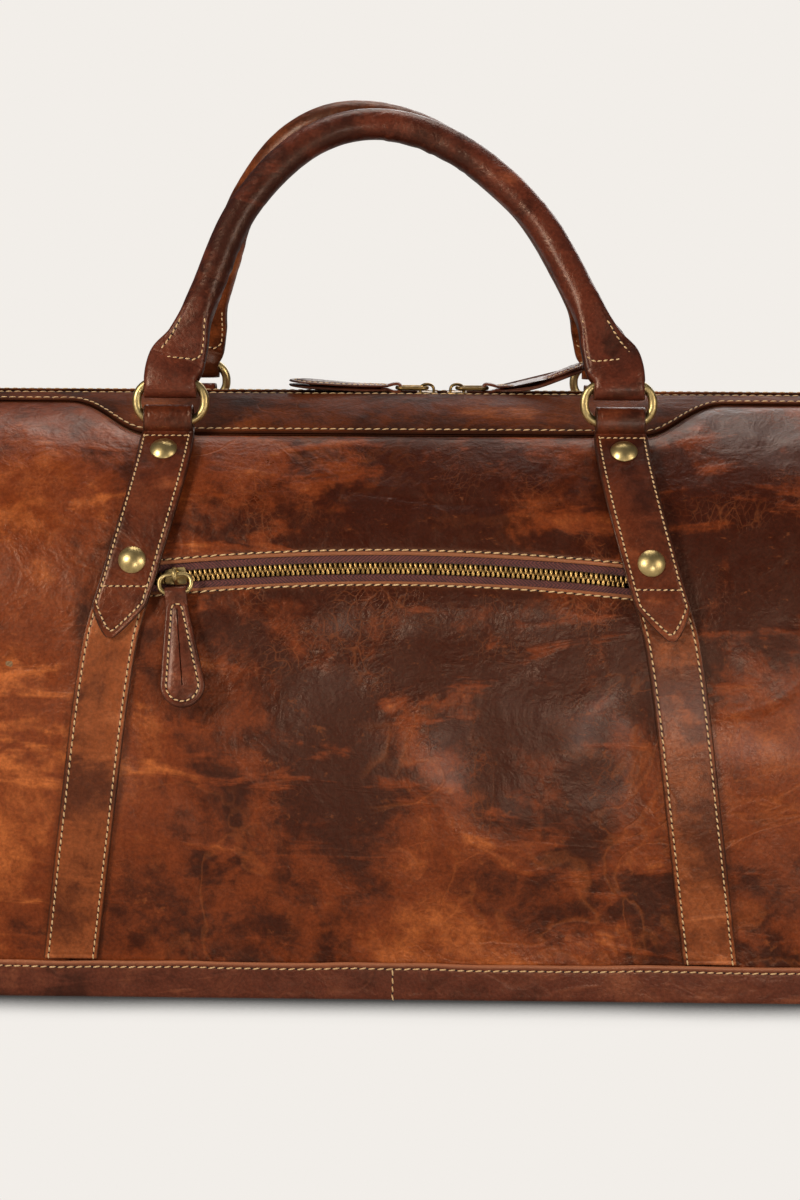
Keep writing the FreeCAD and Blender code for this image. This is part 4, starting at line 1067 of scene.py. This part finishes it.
rivetProfile = [(0.01, 3.3), (1.6, 3.17), (3.2, 2.75), (4.6, 2.1), (5.7, 1.35), (6.4, 0.75), (6.75, 0.42),
                (6.9, 0.2),
                (6.85, 0.0), (3.0, -0.2)]
turns = np.linspace(0, 2 * math.pi, 28, endpoint=False)
rivetVerts = np.array([(r * math.cos(a), r * math.sin(a), z) for r, z in rivetProfile for a in turns])
rivetFaces = tubeFaces(len(rivetProfile), len(turns))
rivetItem = itemMesh("rivetItem", rivetVerts, rivetFaces)
for side, sideName in ((-1, "front"), (1, "rear")):
    rows = []
    for way in (-1, 1):
        for height in straps["rivetHeights"]:
            x, length = way * strapX(np.array([height])), np.array([lengthAt(height)])
            rows.append((skin(x, length, side, straps["strapLift"][1]), skinNormal(x, length, side)))
    obj = itemRows(sideName + "_rivets", rows, rivetItem, metals["hardware"], atPoints=True)
    place(obj, "bag_body", "hardware", sideName + "_rivets")
print("straps ready")

# oval rings and handles
rings = {"width": 34.8, "height": 20.0, "corner": 9.5, "wire": 2.3, "lean": 8.0}
handle = {
    "rise": 140.5, "slump": {-1: -12.0, 1: -21.0}, "inward": 3.6, "power": 1.48, "grip": 8.3,
    "lean": {-1: 22.0, 1: 16.0},
    "tab": 13.35, "tabTop": 40.0, "tabThick": 4.6, "loopRadius": 6.4, "slack": 2.0, "wrinkle": 0.42,
    "flare": 1.2,
    "seamTop": 31.0, "seamLow": 11.5,
}


def leaned(points, lean, side, pivot):  # turns local (x, y, z) inwards about X and moves it to the pivot
    angle = math.radians(lean) * -side
    p = np.asarray(points, float)
    y = p[..., 1] * math.cos(angle) + p[..., 2] * math.sin(angle)
    z = -p[..., 1] * math.sin(angle) + p[..., 2] * math.cos(angle)
    return np.stack([p[..., 0], y, z], -1) + np.array(pivot)


def handlePath(side):  # (x, z) of the middle line with the half width and half thickness there
    low = handle["slack"] + handle["loopRadius"]
    foot = -low + low * (1 - np.cos(np.linspace(0.12, math.pi / 2, 16)))
    turns = np.linspace(0, math.pi, 1200)
    share = np.sin(turns) ** handle["power"]
    across = jointAt("front_ring_right_hinge")[0] * np.cos(turns) + handle["slump"][side] * share ** 2
    arch = np.column_stack([across, handle["rise"] * share])
    run = runAlong(arch)
    even = np.linspace(0, run[-1], 400)
    arch = resampled(even, run, arch)
    right = np.column_stack([np.full(16, arch[0][0]), foot])
    left = np.column_stack([np.full(16, arch[-1][0]), foot])
    path = np.concatenate([right[:-1], arch, left[::-1][1:]])
    rise = path[:, 1]
    path[:, 0] -= handle["inward"] * np.sign(path[:, 0]) * smooth(3, 24, rise) * (1 - smooth(50, 95, rise))
    loop = np.sqrt(np.maximum(handle["loopRadius"] ** 2 - np.minimum(rise + handle["slack"], 0) ** 2, 0.3))
    neck = smooth(3.0, 13.0, rise)
    thick = loop * (1 - neck) + handle["tabThick"] * neck
    swell = smooth(14.0, handle["tabTop"] + 4, rise)
    thick = thick * (1 - swell) + handle["grip"] * swell
    flare = handle["flare"] * np.exp(-((rise - 12) / 7) ** 2)
    narrow = smooth(9, 38, rise)
    width = (handle["tab"] + flare) * (1 - narrow) + handle["grip"] * narrow
    power = 4.6 - 2.6 * smooth(22, 52, rise)
    return path, width, thick, power


def makeHandle(side, name):
    path, width, thick, power = handlePath(side)
    tangent = unit(np.gradient(path, axis=0))
    pivot = jointAt(name + "_hinge") * (0, 1, 1)
    centre = leaned(np.column_stack([path[:, 0], 0 * width, path[:, 1]]), handle["lean"][side], side, pivot)
    origin = leaned(np.zeros(3), handle["lean"][side], side, pivot)
    inPlane = leaned(np.column_stack([tangent[:, 1], 0 * width, -tangent[:, 0]]), handle["lean"][side], side,
                     pivot)
    thickDir = leaned(np.tile((0.0, 1.0, 0.0), (len(path), 1)), handle["lean"][side], side, pivot)
    inPlane, thickDir = inPlane - origin, thickDir - origin
    columns = 44
    angle = np.linspace(0, 2 * math.pi, columns, endpoint=False)[None]
    bend = 2 / power[:, None]
    u = width[:, None] * np.sign(np.cos(angle)) * np.abs(np.cos(angle)) ** bend
    w = thick[:, None] * np.sign(np.sin(angle)) * np.abs(np.sin(angle)) ** bend
    roundPart = smooth(30, 60, path[:, 1])[:, None]
    run = runAlong(path)[:, None]
    inside = -(u / width[:, None])  # above 0 on the inside of the bend
    inside = np.clip(inside if inPlane[len(path) // 2][2] > 0 else -inside, 0, 1)
    where = np.stack([run + 0 * u, u * 0.3 + 50, w * 0.3 + 0 * run], -1)
    crush = softNoise(where, 3.1, 81 + side) + 0.7 * softNoise(where, 6.5, 83)
    slack = smooth(0.1, 0.9, inside) * (0.5 + softNoise(where, 60, 85)) + 0.12
    lumps = handle["wrinkle"] * roundPart * slack * crush + 0.25 * softNoise(where, 22, 87)
    scale = 1 - lumps / handle["grip"]
    verts = (centre[:, None] + inPlane[:, None] * (u * scale)[..., None]
             + thickDir[:, None] * (w * scale)[..., None])
    rows = len(path)
    faces = tubeFaces(rows, columns)
    flat = (1 - smooth(30, 44, path[:, 1]))[:, None]
    sideEdge = np.abs(w) / thick[:, None]
    rise = np.broadcast_to(path[:, 1:2], u.shape)
    edge = np.where(flat > 0.5, np.minimum(width[:, None] - np.abs(u), 99), 99)
    lowRow = handle["seamLow"] + 0.10 * u * np.sign(path[:, :1])
    edge = np.where((rise < lowRow + 2.6) & (rise > 2) & (flat > 0.5), np.abs(rise - lowRow) + 2.6, edge)
    edge = np.where(rise < 5, 99, edge)
    atSide = flat * (np.abs(u) > width[:, None] * 0.8)
    values = {"edge": edge, "paint": (1 - smooth(0.35, 0.75, sideEdge)) * atSide, "trim": 0 * edge,
              "tone": softNoise(verts, 45, 91 + side) * 0.15 - 0.10 * roundPart * inside}
    verts = verts.reshape(-1, 3)
    material = leathers["handle" if side < 0 else "rearHandle"]
    obj = buildMesh(name, verts, outward(verts, faces), values, material)
    slotCentre = (0, pivot[1], pivot[2])
    tilt = math.radians(handle["lean"][side]) * -side
    down = np.array([0, -math.sin(tilt), -math.cos(tilt)]) * handle["slack"]
    cutSlot(obj, slotCentre, 4.4, down, 150)
    place(obj, name, "handle_leather", name + "_grip", name + "_core", name + "_left_end",
          name + "_right_end")
    for way in (-1, 1):
        for face in (-1, 1):
            leg = slice(15, 200) if way > 0 else slice(-16, -200, -1)
            rises = np.linspace(handle["seamTop"], handle["seamLow"] + 1.2, 12)
            halfSeam = np.interp(rises, path[leg, 1], width[leg]) - 2.6
            thickAt = lambda r: np.interp(r, path[leg, 1], thick[leg])
            powerAt = lambda r: np.interp(r, path[leg, 1], power[leg])
            xAt = lambda r: np.interp(r, path[leg, 1], path[leg, 0])
            lowU = np.linspace(halfSeam[-1], -halfSeam[-1], 12)
            us = np.concatenate([halfSeam, lowU[1:-1], -halfSeam[::-1]])
            rs = np.concatenate([rises, handle["seamLow"] + 0.10 * lowU[1:-1] * way, rises[::-1]])
            reach = np.interp(rs, path[leg, 1], width[leg])
            t = np.clip(np.abs(us) / reach, 0, 1)
            wAt = thickAt(rs) * (1 - t ** powerAt(rs)) ** (1 / powerAt(rs))
            local = np.column_stack([xAt(rs) + us, face * (wAt + 0.03), rs])
            world = leaned(local, handle["lean"][side], side, pivot)
            up = leaned(np.array((0.0, face, 0.0)), handle["lean"][side], side, pivot) - origin
            sewn(name, world, up, 3.1)


for side, sideName in ((-1, "front"), (1, "rear")):
    for way, wayName in ((-1, "left"), (1, "right")):
        pivot = jointAt(sideName + "_ring_" + wayName + "_hinge")
        loop = roundedLoop(rings["width"], rings["height"], rings["corner"])
        path = leaned(np.column_stack([loop[:, 0], 0 * loop[:, 0], loop[:, 1]]), rings["lean"], side, pivot)
        verts, faces = sweep(path, rings["wire"], 20)
        nodeName = sideName + "_" + wayName + "_ring"
        obj = buildMesh(nodeName, verts, faces, None, metals["hardware"])
        place(obj, sideName + "_ring_" + wayName, "hardware", nodeName)
    makeHandle(side, sideName + "_handle")
print("handles ready")

# zips
zips = {"pitch": 2.5, "thickness": 1.25, "mainReach": 252.0, "mainLift": -1.85,
        "pocketReach": 119.0, "pinHeight": 4.9, "pocketPin": 7.3, "plateGap": 1.6, "plate": 1.2}
toothOutline = [(-0.72, 3.0), (-0.74, 1.3), (-0.5, 0.5), (-0.62, -0.3), (-0.4, -0.75), (0.4, -0.75),
                (0.62, -0.3),
                (0.5, 0.5), (0.74, 1.3), (0.72, 3.0)]
toothItem = itemMesh("toothItem", *plate(toothOutline, -zips["thickness"], zips["thickness"], 0.32))


def toothRows(path, up):
    run = runAlong(path)
    result = []
    for shift in (0.0, 0.5):
        at = np.arange(1.0 + shift * zips["pitch"], run[-1] - 1, zips["pitch"])
        points = resampled(at, run, path)
        ups = resampled(at, run, up)
        result.append((points, ups))
    return result


def makeTeeth(name, path, up):
    rows = toothRows(path, up)
    both = [itemRows(name + str(k), [rows[k]], toothItem, metals["zip"], atPoints=True, slant=k * math.pi)
            for k in range(2)]
    obj = merged(name, both, metals["zip"])
    place(obj, "bag_body", "zip_metal", name)


def merged(name, objects, material):  # joins finished meshes that share one material
    parts = []
    for obj in objects:
        verts = np.empty(len(obj.data.vertices) * 3, np.float32)
        obj.data.vertices.foreach_get("co", verts)
        parts.append((verts.reshape(-1, 3) * 1000, [tuple(p.vertices) for p in obj.data.polygons]))
    for obj in objects:
        bpy.data.objects.remove(obj)
    verts, faces = joined(parts)
    return buildMesh(name, verts, faces, None, material)


mainX = np.linspace(-zips["mainReach"], zips["mainReach"], 240)
crest = skinPoint(mainX, np.full(240, sectionLength), 1) * (1, 0, 1)
crestUp = unit(np.column_stack([-np.gradient(crest[:, 2], mainX), 0 * mainX, 1 + 0 * mainX]))
makeTeeth("main_zip_teeth", crest + crestUp * zips["mainLift"], crestUp)
tapes = []
for side in (-1, 1):
    reach = bag["endX"] - 0.6
    tapes.append(leatherPanel("tape" + str(side), lambda s: -reach + 0 * s, lambda s: reach + 0 * s,
                              lambda x: sectionLength - 18.5 + 0 * x,
                              lambda x: sectionLength - 3.0 + 2.9 * smooth(258, 262, np.abs(x)), side,
                              tapeMaterial, lift=zips["mainLift"] + 0.33, thickness=0.66, roll=0.2, step=6,
                              dip=0))
place(merged("main_zip_tape", tapes, tapeMaterial), "bag_body", "zip_tape", "main_zip_tape")

pocketCentre = jointAt("pocket_slider_travel")
travelAxis = np.array(joints["pocket_slider_travel"]["axis"], float)
pocketOut = -travelAxis
pinPoint = jointAt("pocket_link_hinge")
pinPlane = (pinPoint - pocketCentre) - pocketOut * ((pinPoint - pocketCentre) @ pocketOut)
pocketRadius = np.linalg.norm(pinPlane)
pocketUp = np.cross(pocketOut, (1, 0, 0))


def pocketAt(along, up, out):  # along the zip's arc, up across it, out from it
    turn = np.asarray(along) / pocketRadius
    reach = (pocketRadius + np.asarray(up))[..., None]
    upward, sideways = np.cos(turn)[..., None] * pocketUp, np.sin(turn)[..., None] * np.array((1, 0, 0))
    return pocketCentre + reach * (upward + sideways) + np.asarray(out)[..., None] * pocketOut


arc = np.linspace(-zips["pocketReach"], zips["pocketReach"], 140)
makeTeeth("pocket_zip_teeth", pocketAt(arc, 0 * arc, 0 * arc), np.tile(pocketOut, (140, 1)))
tapes = []
for low, high in ((3.0, 9.0), (-9.0, -3.0)):
    u, v = np.meshgrid(np.linspace(-123, 123, 60), np.linspace(low, high, 6), indexing="ij")
    top, bottom = pocketAt(u, v, 0 * u + 0.33), pocketAt(u, v, 0 * u - 0.33)
    faces = shellFaces(60, 6)
    verts = np.concatenate([top.reshape(-1, 3), bottom.reshape(-1, 3)])
    tapes.append(buildMesh("strip", verts, outward(verts, faces), None, tapeMaterial))
place(merged("pocket_zip_tape", tapes, tapeMaterial), "bag_body", "zip_tape", "pocket_zip_tape")


# sliders, links and pulls
pullLook = {"small": 5.6, "large": 11.0, "length": 38.0, "half": 1.75, "crown": 0.75, "bend": 22.0,
            "eye": 2.15}


def sliderParts(pin, across):  # local X along the zip, Z out
    outline = [(-5.4, -3.0), (-4.9, -3.5), (0.5, -4.45), (4.6, -4.45), (5.3, -3.9), (5.4, -1.2), (5.4, 1.2),
               (5.3, 3.9),
               (4.6, 4.45), (0.5, 4.45), (-4.9, 3.5), (-5.4, 3.0)]
    foot = zips["plateGap"] + zips["plate"]
    parts = [plate(outline, zips["plateGap"], foot, 0.35), plate(outline, -foot, -zips["plateGap"], 0.35)]
    for y in (-1, 1):
        wall = [(-4.8, y * 3.2), (0.5, y * 4.3), (5.0, y * 4.3), (5.0, y * 3.5), (0.5, y * 3.5),
                (-4.8, y * 2.6)]
        parts.append(plate(wall if y > 0 else wall[::-1], 0.6, zips["plateGap"] + 0.1, 0.12))
        parts.append(plate(wall if y > 0 else wall[::-1], -zips["plateGap"] - 0.1, -0.6, 0.12))
    parts.append(plate([(3.6, -0.4), (5.2, -0.4), (5.2, 0.4), (3.6, 0.4)], -zips["plateGap"] - 0.1,
                       zips["plateGap"] + 0.1, 0.1))
    crown = pin + 1.9
    t = np.linspace(0, math.pi, 22)
    bridge = np.column_stack([-3.6 * np.cos(t), 0 * t, foot - 0.3 + (crown - foot + 0.3) * np.sin(t) ** 0.55])
    verts, faces = sweep(bridge, 0.78, 12, closed=False, flatten=1.5)
    if across:
        verts = np.column_stack([-verts[:, 1], verts[:, 0], verts[:, 2]])
    parts.append((verts, outward(verts, faces)))
    return joined(parts)


def pearOutline(count=60):  # spine point, direction and radius round a pear along +X
    small, large = pullLook["small"], pullLook["large"]
    slope = math.asin((large - small) / pullLook["length"])
    start, end = small + 3.2, small + 3.2 + pullLook["length"]
    top = math.pi / 2 + slope
    rows = []
    for angle in np.linspace(top, 2 * math.pi - top, count // 3):
        rows.append((start, angle, small))
    for share in np.linspace(0, 1, count // 4)[1:-1]:
        rows.append((start + share * pullLook["length"], -top, small + share * (large - small)))
    for angle in np.linspace(-top, top, count // 2):
        rows.append((end, angle, large))
    for share in np.linspace(1, 0, count // 4)[1:-1]:
        rows.append((start + share * pullLook["length"], top, small + share * (large - small)))
    return np.array(rows)


def bent(points, bend):  # curls the far end of a pull up
    p = np.array(points, float)
    along = p[:, 0]
    turns = np.radians(bend) * smooth(9.0, 34.0, np.linspace(0, 70, 281))
    run = np.linspace(0, 70, 281)
    x = np.concatenate([[0], np.cumsum(np.cos(turns[1:]) * 0.25)])
    z = np.concatenate([[0], np.cumsum(np.sin(turns[1:]) * 0.25)])
    at = np.clip(along, 0, 70)
    turn = np.interp(at, run, turns)
    low = np.minimum(along, 0)
    return np.column_stack([np.interp(at, run, x) + low - np.sin(turn) * p[:, 2], p[:, 1],
                            np.interp(at, run, z) + np.cos(turn) * p[:, 2]])


def pullParts(neck, bend):
    outline = pearOutline()
    direction = np.column_stack([np.cos(outline[:, 1]), np.sin(outline[:, 1])])
    depths = [0, 0.15, 0.45, 0.9, 1.5, 2.2, 2.7, 3.1, 3.6, 4.3, 5.2, 6.3, 7.5, 8.8, 10.0, 10.7]
    loops, edges = [], []
    for face in (1, -1):
        for depth in depths if face > 0 else depths[::-1]:
            reach = np.maximum(outline[:, 2] - depth, 0.25)
            xy = np.column_stack([outline[:, 0], 0 * reach]) + direction * reach[:, None]
            thick = pullLook["half"] - rolledEdge(np.array(float(depth)), 0.9)
            rise = pullLook["crown"] * smooth(2.9, 7.0, depth) * smooth(0, 5, outline[:, 2] - 4.5)
            loops.append(np.column_stack([xy,
                                          face * (thick + rise - 0.3 * math.exp(-((depth - 3) / 0.6) ** 2))]))
            edges.append(np.full(len(xy), depth))
    n = len(outline)
    verts = np.concatenate(loops)
    faces = tubeFaces(len(loops), n)
    parts = [(verts, outward(verts, faces))]
    start = pullLook["small"] + 3.2
    t = np.linspace(-math.pi / 2, -3 * math.pi / 2, 20)
    eye = np.column_stack([pullLook["eye"] * np.cos(t), 0 * t, pullLook["eye"] * np.sin(t)])
    low, high = [(x, 0, z) for x, z in ((start, -0.75), (start - 3.5, -0.95), (2.2, -1.85))], []
    high = [(x, 0, -z) for x, _, z in low[::-1]]
    path = np.concatenate([low, eye, high])
    tangent = unit(np.gradient(path, axis=0))
    normal = np.column_stack([-tangent[:, 2], 0 * tangent[:, 0], tangent[:, 0]])
    corners = [(-neck / 2, -0.62), (-neck / 2 + 0.2, -0.7), (neck / 2 - 0.2, -0.7), (neck / 2, -0.62),
               (neck / 2, 0.62),
               (neck / 2 - 0.2, 0.7), (-neck / 2 + 0.2, 0.7), (-neck / 2, 0.62)]
    neckVerts = np.concatenate([[p + np.array((0, a, 0)) + m * b for a, b in corners] for p,
                                m in zip(path, normal)])
    neckFaces = tubeFaces(len(path), len(corners))
    parts.append((neckVerts, outward(neckVerts, neckFaces)))
    verts, faces = joined(parts)
    edge = np.concatenate(edges + [np.full(len(neckVerts), 1.0)])
    rowPath = np.column_stack([np.column_stack([outline[:, 0], 0 * outline[:, 0]])
                               + direction * (outline[:, 2:3] - 3.0),
                               0 * outline[:, 0] + pullLook["half"] - 0.1])
    return bent(verts, bend), faces, edge, bent(np.concatenate([rowPath, rowPath[:1]]), bend)


def placedPull(name, body, pivot, ahead, sideways, out, neck, bend):
    verts, faces, edge, row = pullParts(neck, bend)
    turn = np.array([ahead, sideways, out])
    world = verts @ turn + pivot
    obj = buildMesh(name, world, outward(world, faces),
                    {"edge": edge, "trim": 0 * edge, "paint": 0.6 - 0.6 * smooth(0.5, 1.2, edge),
                     "tone": softNoise(world, 14, 95) * 0.16}, leathers["pull"])
    place(obj, body, "pull_leather", name)
    sewn(body, row @ turn + pivot, out, 3.0)
    under = np.column_stack([row[:, 0], row[:, 1], row[:, 2] - 2 * pullLook["half"] + 0.2])
    sewn(body, under @ turn + pivot, -np.array(out), 3.0)


for way, wayName in ((-1, "left"), (1, "right")):
    pin = jointAt("main_link_" + wayName + "_hinge")
    ahead = np.array((float(way), 0, 0))
    verts, faces = sliderParts(zips["pinHeight"], False)
    world = verts * (way, 1, 1) + pin - (0, 0, zips["pinHeight"])
    obj = buildMesh("main_slider_" + wayName, world, outward(world, faces), None, metals["slider"])
    obj.data.set_sharp_from_angle(angle=math.radians(40))
    place(obj, "main_slider_" + wayName, "zip_metal", "main_slider_" + wayName)
    loop = roundedLoop(9.0, 16.0, 3.6)
    verts, faces = sweep(pin + np.column_stack([way * loop[:, 1], loop[:, 0], 0 * loop[:, 0]]), 1.0, 12)
    obj = buildMesh("main_link_" + wayName, verts, faces, None, metals["slider"])
    place(obj, "main_link_" + wayName, "zip_metal", "main_link_" + wayName)
    placedPull("main_pull_" + wayName, "main_pull_" + wayName, jointAt("main_pull_" + wayName + "_hinge"),
               ahead,
               np.array((0, 1.0, 0)), np.array((0, 0, 1.0)), 5.2, pullLook["bend"] if way > 0 else 4.0)

slideTurn = math.asin(pinPlane[0] / pocketRadius)
alongZip = np.array((math.cos(slideTurn), 0, 0)) - math.sin(slideTurn) * pocketUp
acrossZip = np.cross(pocketOut, alongZip)
verts, faces = sliderParts(zips["pocketPin"], True)
world = verts @ np.array([alongZip, acrossZip, pocketOut]) + pinPoint - pocketOut * zips["pocketPin"]
obj = buildMesh("pocket_slider", world, outward(world, faces), None, metals["hardware"])
obj.data.set_sharp_from_angle(angle=math.radians(40))
place(obj, "pocket_slider", "zip_metal", "pocket_slider")
loop = roundedLoop(16.0, 9.0, 4.2)
verts, faces = sweep(pinPoint + np.outer(loop[:, 0], alongZip) - np.outer(loop[:, 1], acrossZip), 1.15, 14)
place(buildMesh("pocket_link", verts, faces, None, metals["hardware"]), "pocket_link", "zip_metal",
      "pocket_link")
placedPull("pocket_pull", "pocket_pull", jointAt("pocket_pull_hinge"), -acrossZip, alongZip, pocketOut, 10.6,
           0.0)
print("zips ready")

# shoulder-strap rings and their tabs
ringTab = {"half": 12.0, "ply": 2.3, "foot": 217.0, "top": 270.8, "inner": 271.85, "wire": 2.0, "width": 36.0,
           "corner": 3.0}
for way, wayName in ((-1, "left"), (1, "right")):
    pivot = jointAt(wayName + "_d_ring_hinge") * (way, 1, 1)
    inner = ringTab["inner"] + ringTab["ply"] / 2
    radius = ringTab["wire"] + 0.75 + ringTab["ply"] / 2
    arcTurn = np.linspace(0, -math.pi, 22)
    top = [(pivot[0] + radius, z) for z in np.linspace(ringTab["top"], pivot[2] + 1, 14)]
    curl = [(pivot[0] + radius * math.cos(a), pivot[2] + radius * math.sin(a)) for a in arcTurn]
    back = [(pivot[0] - radius, pivot[2] + d) for d in (2, 4, 7, 10)]
    flap = np.array(top + curl + back)
    footPath = np.array([(inner, z) for z in np.linspace(ringTab["foot"] + 0.02, ringTab["top"], 26)])
    filler = np.array([(276.6, z) for z in np.linspace(pivot[2] + 10, ringTab["top"] - 0.1, 10)])
    objects = []
    for key, path, thick in (("flap", flap, ringTab["ply"]), ("foot", footPath, ringTab["ply"]),
                             ("fill", filler, 4.4)):
        centre = np.column_stack([way * path[:, 0], 0 * path[:, 0], path[:, 1]])
        tangent = unit(np.gradient(centre, axis=0))
        normal = np.cross((0.0, 1.0, 0.0), tangent)
        endRun = np.minimum(np.arange(len(path)), np.arange(len(path))[::-1]) * 1.5 + 0.3
        objects.append(loft(key, centre, np.tile((0, 1.0, 0), (len(path), 1)), normal, ringTab["half"],
                            thick / 2,
                            leathers["strap"], corner=0.7, columns=16, edge=endRun,
                            tone=lambda p: softNoise(p, 25, 97) * 0.1))
    target = objects[0]
    with bpy.context.temp_override(active_object=target, object=target, selected_editable_objects=objects,
                                   selected_objects=objects):
        bpy.ops.object.join()
    target.name = wayName + "_ring_tab"
    place(target, "bag_body", "strap_leather", wayName + "_ring_tab")
    outX = pivot[0] + radius + ringTab["ply"] / 2 + 0.03
    box = np.array([(-9.4, 268.2), (-9.4, 249), (9.4, 249), (9.4, 268.2), (-9.4, 268.2)])
    path = np.concatenate([np.linspace(a, b, 8)[:-1] for a, b in zip(box[:-1], box[1:])] + [box[-1:]])
    sewn("bag_body", np.column_stack([np.full(len(path), way * outX), path]), (way, 0, 0), 3.2)
    halfBar = ringTab["width"] / 2 - ringTab["wire"]
    bar = halfBar - ringTab["corner"]
    loop = [(y, 0) for y in np.linspace(-bar, bar, 9)[1:-1]]
    for cy, r, a0, a1, count in ((bar, ringTab["corner"], 90, 0, 7), (0, halfBar, 0, -180, 34),
                                 (-bar, ringTab["corner"], 180, 90, 7)):
        for a in np.radians(np.linspace(a0, a1, count)):
            loop.append((cy + r * math.cos(a), -ringTab["corner"] + r * math.sin(a)))
    loop = np.array(loop)
    keep = np.linalg.norm(loop - np.roll(loop, 1, 0), axis=1) > 0.01
    loop = loop[keep]
    path = np.column_stack([0 * loop[:, 0], loop]) + pivot * (way, 1, 1)
    verts, faces = sweep(path, ringTab["wire"], 16)
    obj = buildMesh(wayName + "_d_ring", verts, faces, None, metals["hardware"])
    place(obj, wayName + "_d_ring", "hardware", wayName + "_d_ring")
print("end rings ready")

# every row of stitches
thread = {"length": 0.80, "width": 0.86, "height": 0.56, "slant": 0.16, "hole": 0.5}
for (bodyName, pitch), rows in stitches.items():
    item = stitchItem(pitch * thread["length"], thread["width"], thread["height"])
    obj = itemRows("stitches", rows, item, threadMaterial, pitch=pitch, slant=thread["slant"], wander=0.09)
    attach(obj, bodyName)
    obj.name = "thread_" + bodyName + "_" + str(int(pitch * 10))
    pricks = holeItem(thread["hole"])
    obj = itemRows("holes", holes[(bodyName, pitch)], pricks, holeShadeMaterial, pitch=pitch)
    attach(obj, bodyName)
    obj.name = "holes_" + bodyName + "_" + str(int(pitch * 10))
    for gone in (item, pricks):
        bpy.data.objects.remove(gone)
for gone in (rivetItem, toothItem):
    bpy.data.objects.remove(gone)
print("stitches ready")

# light, floor and camera
world = bpy.data.worlds.new("room")
scene.world = world
world.use_nodes = True
tree = world.node_tree
tree.nodes.clear()
seen = put(tree, "ShaderNodeLightPath").outputs["Is Camera Ray"]
pale = linear((242, 238, 233))
shown = put(tree, "ShaderNodeBackground", {"Color": pale, "Strength": 1.0})
lit = put(tree, "ShaderNodeBackground", {"Color": (0.9, 0.92, 1.0, 1), "Strength": 0.075})
either = put(tree, "ShaderNodeMixShader", {0: seen, 1: lit.outputs[0], 2: shown.outputs[0]})
put(tree, "ShaderNodeOutputWorld", {"Surface": either.outputs[0]})

floorMesh = bpy.data.meshes.new("floor")
floorMesh.from_pydata([(-6, -5, 0), (6, -5, 0), (6, 8, 0), (-6, 8, 0)], [], [(0, 1, 2, 3)])
floor = bpy.data.objects.new("floor", floorMesh)
scene.collection.objects.link(floor)
material = bpy.data.materials.new("paleFloor")
material.use_nodes = True
tree = material.node_tree
tree.nodes.clear()
# painted contact shadow: ambient occlusion darkens the floor's even glow near the bag
contact = put(tree, "ShaderNodeAmbientOcclusion", {"Distance": 0.04}, samples=16).outputs["AO"]
shade = ranged(tree, contact, 0.47, 0.98, 0.07, 1.0)
glow = put(tree, "ShaderNodeEmission", {"Color": pale, "Strength": shade})
soft = put(tree, "ShaderNodeBsdfDiffuse", {"Color": (0.5, 0.48, 0.46, 1)})
camera = put(tree, "ShaderNodeLightPath").outputs["Is Camera Ray"]
both = put(tree, "ShaderNodeMixShader", {0: camera, 1: soft.outputs[0], 2: glow.outputs[0]})
put(tree, "ShaderNodeOutputMaterial", {"Surface": both.outputs[0]})
floorMesh.materials.append(material)

lights = {  # place, target, width, height, watts, colour
    "key": ((-1.45, -1.5, 1.15), (-0.06, 0, 0.15), 0.55, 0.8, 34, (1.0, 0.95, 0.88)),
    "fill": ((1.6, -1.4, 0.75), (0.05, 0, 0.15), 0.4, 0.8, 15, (1.0, 0.94, 0.87)),
    "top": ((0.0, 0.5, 1.5), (0, 0, 0.3), 0.9, 0.5, 7, (1.0, 0.97, 0.93)),
    "low": ((0.30, -1.55, 0.10), (0.10, 0, 0.12), 0.16, 0.22, 3.6, (1.0, 0.96, 0.92)),
    "rear": ((0.4, 1.6, 1.0), (0, 0, 0.2), 1.2, 1.0, 12, (1.0, 0.98, 0.96)),
}
for key, (at, target, width, height, watts, color) in lights.items():
    lamp = bpy.data.lights.new(key, "AREA")
    lamp.shape, lamp.size, lamp.size_y, lamp.energy, lamp.color = "RECTANGLE", width, height, watts, color
    lampObject = bpy.data.objects.new(key, lamp)
    lampObject.location = at
    lampObject.rotation_euler = (Vector(target) - Vector(at)).to_track_quat("-Z", "Y").to_euler()
    scene.collection.objects.link(lampObject)

shot = {"at": (0.0323, -1.350, 0.4225), "down": 0.1742, "left": 0.0225, "roll": 0.0035, "lens": 75.9}
lens = bpy.data.cameras.new("camera")
lens.lens, lens.sensor_fit, lens.sensor_height, lens.sensor_width = shot["lens"], "VERTICAL", 36.0, 36.0
lens.clip_start, lens.clip_end = 0.05, 50
cameraObject = bpy.data.objects.new("camera", lens)
cameraObject.location = shot["at"]
ahead = Vector((-math.sin(shot["left"]) * math.cos(shot["down"]),
                math.cos(shot["left"]) * math.cos(shot["down"]),
                -math.sin(shot["down"])))
aim = ahead.to_track_quat("-Z", "Y").to_matrix() @ Matrix.Rotation(shot["roll"], 3, "Z")
cameraObject.rotation_euler = aim.to_euler()
scene.collection.objects.link(cameraObject)
scene.camera = cameraObject
scene.view_settings.view_transform = "Standard"
